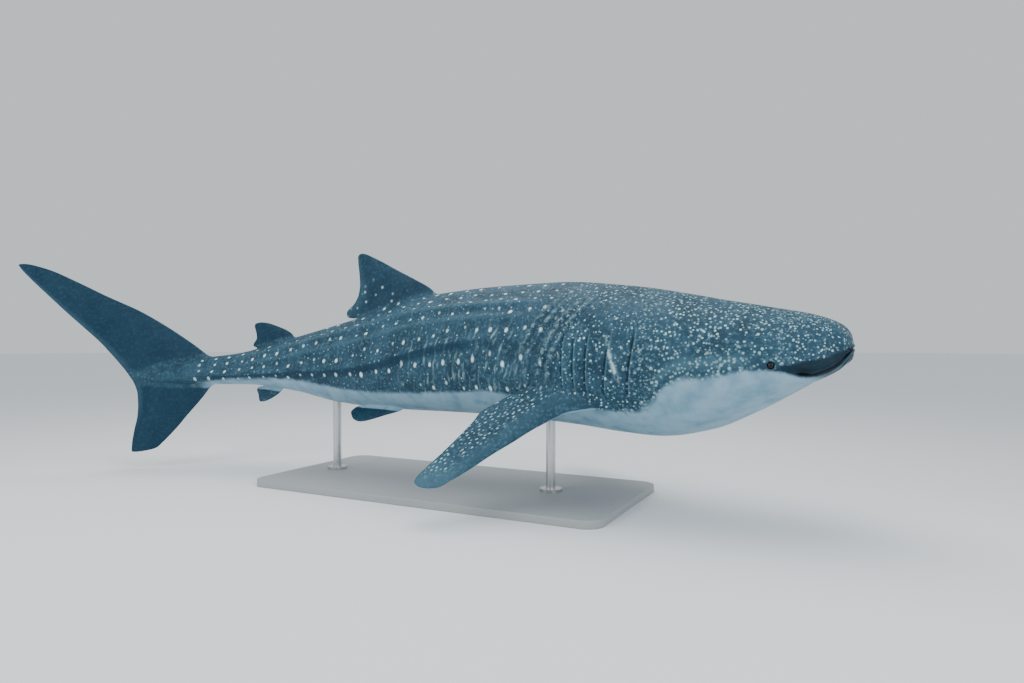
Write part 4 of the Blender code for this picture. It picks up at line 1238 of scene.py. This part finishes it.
large_clouds = clouds("solid_place", CLOUD_SIZE, 0.25, 0.68)
fine_flecks = clouds("solid_place", FLECK_SIZE, 0.48, 0.72, detail=4.0)
colour = add(tree, "ShaderNodeMix", {0: large_clouds, 6: SLATE_DARK, 7: SLATE}, out=2, data_type="RGBA")
fleck_share = add(tree, "ShaderNodeMath", {0: fine_flecks, 1: FLECK_STRENGTH}, operation="MULTIPLY")
colour = add(tree, "ShaderNodeMix", {0: fleck_share, 6: colour, 7: SLATE_PALE_AND_HIGHLIGHT}, out=2, data_type="RGBA")
print("clouds:", CLOUD_SIZE * 1000, "mm, flecks:", FLECK_SIZE * 1000, "mm")

# %% [markdown]
# ## Spots
#
# Every whale shark wears pale round spots: crowded small ones on the head, larger ones in
# rows on the trunk. A cell pattern puts one spot in each cell. On the head the cells fill
# space and the skin cuts through them, which leaves spots of many sizes, as on the animal.
# Two layers lie over each other there, because one can't crowd the spots enough.
# On the trunk each row is one cell high, and the distance from the spot's middle is
# measured in metres of skin.


# %% Spots that fill space
def space_spots(place_name, cell, mask, dimensions="3D", smallest=0.2, largest=0.3,
                shape=(1, 1, 1), start=0):
    """Spots in cells this many metres wide, as strong as the mask says, each with its own brightness."""
    where = add(tree, "ShaderNodeAttribute", out="Vector", attribute_name=place_name)
    where = add(tree, "ShaderNodeMapping", {"Vector": where, "Location": (start, start, start),
                                            "Scale": [1 / (cell * value) for value in shape]})
    away = add(tree, "ShaderNodeTexVoronoi", {"Vector": where, "Scale": 1.0}, out="Distance",
               voronoi_dimensions=dimensions)
    own_size = add(tree, "ShaderNodeSeparateColor", {"Color": away.node.outputs["Color"]}, out="Red")
    radius = add(tree, "ShaderNodeMapRange", {"Value": own_size, "To Min": smallest, "To Max": largest})
    inside = add(tree, "ShaderNodeMath", {0: radius, 1: away}, operation="SUBTRACT")
    spot = add(tree, "ShaderNodeMapRange", {"Value": inside, "From Min": -0.07, "From Max": 0.1},
               interpolation_type="SMOOTHSTEP")
    own_light = add(tree, "ShaderNodeMapRange", {"Value": own_size.node.outputs["Green"],
                                                 "To Min": 0.3, "To Max": 1.0})
    lit = add(tree, "ShaderNodeMath", {0: spot, 1: own_light}, operation="MULTIPLY")
    share = add(tree, "ShaderNodeAttribute", out="Fac", attribute_name=mask)
    return add(tree, "ShaderNodeMath", {0: lit, 1: share}, operation="MULTIPLY")


spot_layers = [space_spots("solid_place", 0.02, "snout_spots"),
               space_spots("solid_place", 0.022, "snout_spots", start=7.3),
               space_spots("solid_place", 0.025, "head_spots"),
               space_spots("solid_place", 0.028, "head_spots", start=7.3),
               space_spots("solid_place", 0.026, "gill_spots", smallest=0.12, largest=0.27),
               space_spots("solid_place", 0.03, "gill_spots", smallest=0.12, largest=0.27, start=7.3),
               space_spots("solid_place", 0.036, "cheek_spots", start=3.1),
               space_spots("skin_place", 0.05, "small_dots", "2D", smallest=0.0, largest=0.11),
               space_spots("pectoral_place", 0.03, "pectoral_spots", "2D", smallest=0.1, largest=0.22,
                           shape=(0.75, 1.5, 1)),
               space_spots("dorsal_place", 0.085, "dorsal_spots", "2D", smallest=0.03, largest=0.14)]
print("spot layers:", len(spot_layers))

# %% Spots in rows, and wavy bars
ROW_SPOT_SPACING = 0.13
ROW_SPOT_RADIUS = (0.007, 0.0148)
ROW_SPOT_RANDOMNESS = 0.32
ROW_SHIFT = 0.35
BAR_SPACING = 0.046
BAR_FADES_AT = 0.017
BAR_STRENGTH = 0.5
WAVE_SIZE = 0.1
WAVE_HEIGHT = 0.07

where = add(tree, "ShaderNodeAttribute", out="Vector", attribute_name="row_place")
where = add(tree, "ShaderNodeMapping", {"Vector": where, "Location": (0, -ROW_SHIFT, 0),
                                        "Scale": (1 / ROW_SPOT_SPACING, 1, 1)})
middle = add(tree, "ShaderNodeTexVoronoi", {"Vector": where, "Scale": 1.0,
                                            "Randomness": ROW_SPOT_RANDOMNESS},
             out="Position", voronoi_dimensions="2D")
away = add(tree, "ShaderNodeVectorMath", {0: where, 1: middle}, operation="SUBTRACT")
away = add(tree, "ShaderNodeVectorMath", {0: away, 1: (ROW_SPOT_SPACING, 1, 0)}, operation="MULTIPLY")
row_size = add(tree, "ShaderNodeAttribute", out="Vector", attribute_name="row_size")
away = add(tree, "ShaderNodeVectorMath", {0: away, 1: row_size}, operation="MULTIPLY")
away = add(tree, "ShaderNodeVectorMath", {0: away}, out="Value", operation="LENGTH")
own_size = add(tree, "ShaderNodeSeparateColor", {"Color": middle.node.outputs["Color"]}, out="Red")
radius = add(tree, "ShaderNodeMapRange", {"Value": own_size, "To Min": ROW_SPOT_RADIUS[0],
                                          "To Max": ROW_SPOT_RADIUS[1]})
inside = add(tree, "ShaderNodeMath", {0: radius, 1: away}, operation="SUBTRACT")
spot = add(tree, "ShaderNodeMapRange", {"Value": inside, "From Min": -0.005, "From Max": 0.006},
           interpolation_type="SMOOTHSTEP")
own_light = add(tree, "ShaderNodeMapRange", {"Value": own_size.node.outputs["Green"], "To Min": 0.5})
shown = add(tree, "ShaderNodeAttribute", out="Fac", attribute_name="row_spots")
shown = add(tree, "ShaderNodeMath", {0: shown, 1: own_light}, operation="MULTIPLY")
large_spots = add(tree, "ShaderNodeMath", {0: spot, 1: shown}, operation="MULTIPLY")

where = add(tree, "ShaderNodeAttribute", out="Vector", attribute_name="bar_place")
waver = add(tree, "ShaderNodeTexNoise", {"Vector": where, "Scale": 1 / WAVE_SIZE, "Detail": 2.0})
where_along = add(tree, "ShaderNodeSeparateXYZ", {"Vector": where})
wavy = add(tree, "ShaderNodeMath", {0: waver, 1: WAVE_HEIGHT, 2: where_along}, operation="MULTIPLY_ADD")
from_bar = add(tree, "ShaderNodeMath", {0: wavy, 1: BAR_SPACING / 2}, operation="PINGPONG")
bar = add(tree, "ShaderNodeMapRange", {"Value": from_bar, "From Min": BAR_FADES_AT, "From Max": 0.0},
          interpolation_type="SMOOTHSTEP")
pieces = clouds("bar_place", 0.05, 0.46, 0.8, detail=2.0, stretch=(1, 2.2, 1))
shown = add(tree, "ShaderNodeAttribute", out="Fac", attribute_name="bars")
shown = add(tree, "ShaderNodeMath", {0: shown, 1: BAR_STRENGTH}, operation="MULTIPLY")
broken_bar = add(tree, "ShaderNodeMath", {0: bar, 1: pieces}, operation="MULTIPLY")
spot_layers.append(add(tree, "ShaderNodeMath", {0: broken_bar, 1: shown}, operation="MULTIPLY"))
print("row spots:", ROW_SPOT_SPACING * 1000, "mm apart, bars:", BAR_SPACING * 1000, "mm apart")

# %% The pale streak between two gills, and light on the folds
for name, strength, low, high in (("pale_streak", 0.9, 0.28, 0.58), ("fold_light", 0.3, 0.42, 0.66)):
    broken = clouds("solid_place", 0.03, low, high, detail=2.0)
    shown = add(tree, "ShaderNodeAttribute", out="Fac", attribute_name=name)
    shown = add(tree, "ShaderNodeMath", {0: shown, 1: strength}, operation="MULTIPLY")
    spot_layers.append(add(tree, "ShaderNodeMath", {0: shown, 1: broken}, operation="MULTIPLY"))
print("pale layers:", len(spot_layers) + 1)

# %% [markdown]
# ## Putting the colours together
#
# The tones go on like coats of paint, the broadest first: painted highlights on the ridges,
# a painted shadow under the lowest ridge, dark fins, painted shade in the folds and on the
# upper lip, then the spots, then the belly, whose white is painted down to a shaded
# blue-grey, and last the painted shade in the slits, the mouth, the lower lip, the mouth's
# corners and round the eyes. The belly's edge wanders a little, as it does on the real
# animal.

# %% Skin: coats of colour
BORDER_WANDER = 0.24
STAIN_SIZE = 0.12
under_coats = (("ridge_highlight", SLATE_PALE_AND_HIGHLIGHT, 0.16), ("ridge_shadow", FIN_DARK_AND_SHADE, 0.75),
               ("pectoral_margin", SLATE_PALE_AND_HIGHLIGHT, 0.06), ("pectoral_tip", SLATE_PALE_AND_HIGHLIGHT, 0.3),
               ("dark_fin", FIN_DARK_AND_SHADE, 0.75), ("fin_edge", SLATE_PALE_AND_HIGHLIGHT, 0.2),
               ("cheek_glow", SLATE_PALE_AND_HIGHLIGHT, 0.35), ("shaded_lip_band", LIP_SHADE, 0.9),
               ("gill_edge", SLATE_PALE_AND_HIGHLIGHT, 0.5), ("fold_shade", FIN_DARK_AND_SHADE, 0.5))
over_coats = (("gill_shade", SHADE_DARK, 0.38), ("lower_lip_shade", LIP_SHADE, 0.85),
              ("lip_line", SLATE_PALE_AND_HIGHLIGHT, 0.45), ("corner_shade", SHADE_DARK, 0.75),
              ("mouth_line", SHADE_DARK, 0.95), ("eye_shade", SHADE_DARK, 0.25))
for name, paint, strength in under_coats:
    shown = add(tree, "ShaderNodeAttribute", out="Fac", attribute_name=name)
    shown = add(tree, "ShaderNodeMath", {0: shown, 1: strength}, operation="MULTIPLY", use_clamp=True)
    colour = add(tree, "ShaderNodeMix", {0: shown, 6: colour, 7: paint}, out=2, data_type="RGBA")
pale = spot_layers[0]
for layer in spot_layers[1:]:
    pale = add(tree, "ShaderNodeMath", {0: pale, 1: layer}, operation="MAXIMUM")
colour = add(tree, "ShaderNodeMix", {0: pale, 6: colour, 7: SPOT_PALE}, out=2, data_type="RGBA")
colour = add(tree, "ShaderNodeMix", {0: large_spots, 6: colour, 7: SPOT_BRIGHT}, out=2, data_type="RGBA")
wander = add(tree, "ShaderNodeMath", {0: clouds("solid_place", 0.05, 0.3, 0.7), 1: BORDER_WANDER,
                                      2: -BORDER_WANDER / 2}, operation="MULTIPLY_ADD")
white = add(tree, "ShaderNodeAttribute", out="Fac", attribute_name="belly")
white = add(tree, "ShaderNodeMath", {0: white, 1: wander}, operation="ADD")
white = add(tree, "ShaderNodeMapRange", {"Value": white, "From Min": 0.15, "From Max": 0.85},
            interpolation_type="SMOOTHSTEP")
stains = clouds("solid_place", STAIN_SIZE, 0.35, 0.75)
stained = add(tree, "ShaderNodeMix", {0: stains, 6: SHADED_BELLY, 7: SHADED_BELLY_STAINS}, out=2,
              data_type="RGBA")
colour = add(tree, "ShaderNodeMix", {0: white, 6: colour, 7: stained}, out=2, data_type="RGBA")
for name, paint, strength in over_coats:
    shown = add(tree, "ShaderNodeAttribute", out="Fac", attribute_name=name)
    shown = add(tree, "ShaderNodeMath", {0: shown, 1: strength}, operation="MULTIPLY", use_clamp=True)
    colour = add(tree, "ShaderNodeMix", {0: shown, 6: colour, 7: paint}, out=2, data_type="RGBA")
tree.links.new(colour, surface.inputs["Base Color"])
print("coats:", len(under_coats) + len(over_coats) + 2)

# %% [markdown]
# ## Grain and gloss of the skin
#
# Each real scale is about half a millimetre wide, which no render at this size could
# show, so the grain is drawn at 6 mm. Long shallow wrinkles, 35 mm high and two and a
# half times as long, lie along the body. The gloss is low, because the scales scatter
# most of it, and it changes a little with the wrinkles.

# %% Skin: grain, wrinkles and sheen
GRAIN_SIZE = 0.006
WRINKLE_SIZE = 0.035
RELIEF_DEPTH = 0.0012

where = add(tree, "ShaderNodeAttribute", out="Vector", attribute_name="solid_place")
grain = add(tree, "ShaderNodeTexNoise", {"Vector": where, "Scale": 1 / GRAIN_SIZE, "Detail": 2.0})
wrinkles = clouds("solid_place", WRINKLE_SIZE, 0.2, 0.8, stretch=(2.5, 1, 1))
relief = add(tree, "ShaderNodeMath", {0: wrinkles, 1: 1.4, 2: grain}, operation="MULTIPLY_ADD")
raised = add(tree, "ShaderNodeBump", {"Height": relief, "Distance": RELIEF_DEPTH, "Strength": 0.6})
tree.links.new(raised, surface.inputs["Normal"])
sheen = add(tree, "ShaderNodeMapRange", {"Value": wrinkles, "To Min": 0.48, "To Max": 0.62})
tree.links.new(sheen, surface.inputs["Roughness"])
surface.inputs["IOR"].default_value = 1.42
surface.inputs["Specular IOR Level"].default_value = 0.2
skin.data.materials.clear()
skin.data.materials.append(skin_paint)
skin.data.polygons.foreach_set("material_index", np.zeros(len(skin.data.polygons), np.int32))
print("skin nodes:", len(tree.nodes))

# %% Let the skin stand for the solids
FLESH = ("head", "torso_front", "torso_rear", "tail_stalk", "caudal_fin", "dorsal_fin_first",
         "dorsal_fin_second", "anal_fin", "pectoral_fin_left", "pectoral_fin_right",
         "pelvic_fin_left", "pelvic_fin_right")
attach(skin, "root")
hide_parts(*FLESH)
print("the skin replaces", len(FLESH), "solids")

# %% [markdown]
# ## Eyes
#
# A whale shark's eye is small for its size, dark and wet, with a thin dark grey ring
# round the pupil. It is a ball of its own, set as deep as the solid one, so that its
# gloss differs from the skin's. The wet cornea gives a small sharp highlight, and 1.376
# is a cornea's refractive index. A museum's glass eye would look much the same.

# %% Eyeballs
RING_RADIUS = EYE_RADIUS / 2
RING_FADES = (0.0035, 0.001)

eye_gloss, tree, surface = new_material("wet_eye")
where = add(tree, "ShaderNodeTexCoord", out="Object")
flat = add(tree, "ShaderNodeVectorMath", {0: where, 1: (1, 1, 0)}, operation="MULTIPLY")
off_centre = add(tree, "ShaderNodeVectorMath", {0: flat}, out="Value", operation="LENGTH")
from_ring = add(tree, "ShaderNodeMath", {0: off_centre, 1: RING_RADIUS}, operation="SUBTRACT")
from_ring = add(tree, "ShaderNodeMath", {0: from_ring}, operation="ABSOLUTE")
iris = add(tree, "ShaderNodeMapRange", {"Value": from_ring, "From Min": RING_FADES[0],
                                        "From Max": RING_FADES[1]})
eye_colour = add(tree, "ShaderNodeMix", {0: iris, 6: linear("#05070a"), 7: linear("#11181c")}, out=2,
                 data_type="RGBA")
tree.links.new(eye_colour, surface.inputs["Base Color"])
surface.inputs["Roughness"].default_value = 0.06
surface.inputs["IOR"].default_value = 1.376

for side, name in ((1, "left"), (-1, "right")):
    here, outward = EYES[side]
    bpy.ops.mesh.primitive_uv_sphere_add(segments=64, ring_count=32, radius=EYE_RADIUS,
                                         location=here - outward * (EYE_RADIUS - EYE_PROUD))
    eyeball = bpy.context.object
    eyeball.name = f"eyeball_{name}"
    eyeball.rotation_euler = Vector(outward).to_track_quat("Z", "Y").to_euler()
    eyeball.data.shade_smooth()
    eyeball.data.materials.append(eye_gloss)
    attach(eyeball, "root")
    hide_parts(f"eye_{name}")
print("eyes:", EYE_RADIUS * 2000, "mm across")

# %% [markdown]
# ## Stand
#
# The animal swims, so a model of it needs something to stand on. A flat base and two
# short rods keep it plain. The base is powder-coated steel: the powder melts to a matt
# skin with a fine grain, drawn here at 4 mm, far coarser than the real one, so that it
# shows. The rods are brushed stainless steel. The fine scratches run round them, drawn
# 2 mm apart for the same reason, and soften the gloss. The base has eased edges, because
# a sharp one would catch no light.

# %% Stand materials
COAT_GRAIN = 0.004
COAT_DEPTH = 0.0003
BRUSH_SPACING = 0.002

coat, tree, surface = new_material("powder_coated_steel")
where = add(tree, "ShaderNodeTexCoord", out="Object")
grains = add(tree, "ShaderNodeTexNoise", {"Vector": where, "Scale": 1 / COAT_GRAIN, "Detail": 2.0})
grey = add(tree, "ShaderNodeMix", {0: grains, 6: linear("#94989b"), 7: linear("#a6aaac")}, out=2,
           data_type="RGBA")
tree.links.new(grey, surface.inputs["Base Color"])
raised = add(tree, "ShaderNodeBump", {"Height": grains, "Distance": COAT_DEPTH, "Strength": 0.4})
tree.links.new(raised, surface.inputs["Normal"])
surface.inputs["Roughness"].default_value = 0.5

steel, tree, surface = new_material("brushed_stainless_steel")
where = add(tree, "ShaderNodeTexCoord", out="Object")
where = add(tree, "ShaderNodeMapping", {"Vector": where, "Scale": (0.05, 0.05, 1)})
streaks = add(tree, "ShaderNodeTexNoise", {"Vector": where, "Scale": 1 / BRUSH_SPACING, "Detail": 2.0})
grey = add(tree, "ShaderNodeMix", {0: streaks, 6: linear("#b9bbbd"), 7: linear("#d3d5d6")}, out=2,
           data_type="RGBA")
tree.links.new(grey, surface.inputs["Base Color"])
surface.inputs["Metallic"].default_value = 1.0
surface.inputs["Roughness"].default_value = 0.28
print("stand materials ready")

# %% Base
CORNER_RADIUS = 0.12
EDGE_RADIUS = 0.006

low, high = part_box("stand_base")
bpy.ops.mesh.primitive_cube_add(size=1, location=(low + high) / 2)
base = bpy.context.object
base.name = "stand_plate"
base.data.transform(Matrix.Diagonal((*(high - low), 1)))
net = bmesh.new()
net.from_mesh(base.data)
upright = [e for e in net.edges if abs(e.verts[0].co.z - e.verts[1].co.z) > 0.02]
bmesh.ops.bevel(net, geom=upright, offset=CORNER_RADIUS, segments=16, affect="EDGES", profile=0.5)
rim = [e for e in net.edges if len(e.link_faces) == 2 and e.calc_face_angle() > 1.2]
bmesh.ops.bevel(net, geom=rim, offset=EDGE_RADIUS, segments=4, affect="EDGES", profile=0.5)
net.to_mesh(base.data)
net.free()
base.data.materials.append(coat)
base.data.shade_smooth()
base.data.set_sharp_from_angle(angle=math.radians(30))
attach(base, "root")
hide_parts("stand_base")
print("base:", [round(v, 3) for v in high - low])

# %% Rods
for name in ("stand_rod_front", "stand_rod_rear"):
    rod = frame["nodes"][name]
    rod.data.materials.clear()
    rod.data.materials.append(steel)
    rod.data.shade_smooth()
    rod.data.set_sharp_from_angle(angle=math.radians(40))
    print(name, "is brushed steel")

# %% [markdown]
# ## Floor, light and camera
#
# A pale floor and a pale room keep the eye on the model. The floor is matt board, which
# takes a soft shadow and no reflections. The light is broad and soft and comes mostly
# from above, as under a glass roof, so that the back is lit and the belly is in its own
# shade. The camera stands level with the head and looks at the animal's right side,
# turned 27 degrees from square on, so that the head is near and the tail swings away.

# %% Floor and room
FLOOR_RADIUS = 60

bpy.ops.mesh.primitive_circle_add(vertices=96, radius=FLOOR_RADIUS, fill_type="NGON", location=(0, 0, 0))
floor = bpy.context.object
floor.name = "floor"
paper, tree, surface = new_material("matt_floor")
surface.inputs["Base Color"].default_value = linear("#eef1f3")
surface.inputs["Roughness"].default_value = 0.7
floor.data.materials.append(paper)
room = bpy.data.worlds.new("pale_room")
room.use_nodes = True
room.node_tree.nodes["Background"].inputs["Color"].default_value = linear("#e3e9ed")
room.node_tree.nodes["Background"].inputs["Strength"].default_value = 0.9
bpy.context.scene.world = room
print("floor and room ready")


# %% Soft lamps
def soft_lamp(name, place, target, size, power):
    made = bpy.data.lights.new(name, "AREA")
    made.shape = "RECTANGLE"
    made.size, made.size_y = size
    made.energy = power
    lamp = bpy.data.objects.new(name, made)
    lamp.location = place
    lamp.rotation_euler = (Vector(target) - Vector(place)).to_track_quat("-Z", "Y").to_euler()
    bpy.context.scene.collection.objects.link(lamp)


soft_lamp("overhead", (0.5, 0.3, 5.5), (0.3, 0, 1), (7, 4), 230)
soft_lamp("front_left", (-2.5, -6.5, 4.0), (0.3, 0, 1), (4, 3), 180)
soft_lamp("head_side", (6.5, -3.5, 3.2), (1.5, 0, 1), (3, 3), 110)
print("lamps: 3")

# %% Camera
VIEW_TURN = math.radians(27)
VIEW_DOWN = math.radians(0.16)
BEHIND_SNOUT = 28.88
AWAY_FROM_SNOUT = 57.94
OVER_SNOUT = 0.055
FOCAL_PIXELS = 700
IMAGE_WIDTH_PIXELS = 1024
SENSOR_WIDTH = 36

across = np.array([math.cos(VIEW_TURN), math.sin(VIEW_TURN), 0])
away_from_eye = np.array([-math.sin(VIEW_TURN), math.cos(VIEW_TURN), 0])
snout = np.array([SNOUT_X, SNOUT_Y, SNOUT_HEIGHT])
camera_data = bpy.data.cameras.new("camera")
camera = bpy.data.objects.new("camera", camera_data)
camera.location = snout - PERCENT * (BEHIND_SNOUT * across + AWAY_FROM_SNOUT * away_from_eye)
camera.location.z += OVER_SNOUT
camera.rotation_euler = (math.pi / 2 - VIEW_DOWN, 0, VIEW_TURN)
camera_data.sensor_width = SENSOR_WIDTH
camera_data.lens = FOCAL_PIXELS / IMAGE_WIDTH_PIXELS * SENSOR_WIDTH
bpy.context.scene.collection.objects.link(camera)
bpy.context.scene.camera = camera
print("camera at:", [round(v, 3) for v in camera.location], "lens:", round(camera_data.lens, 1), "mm")
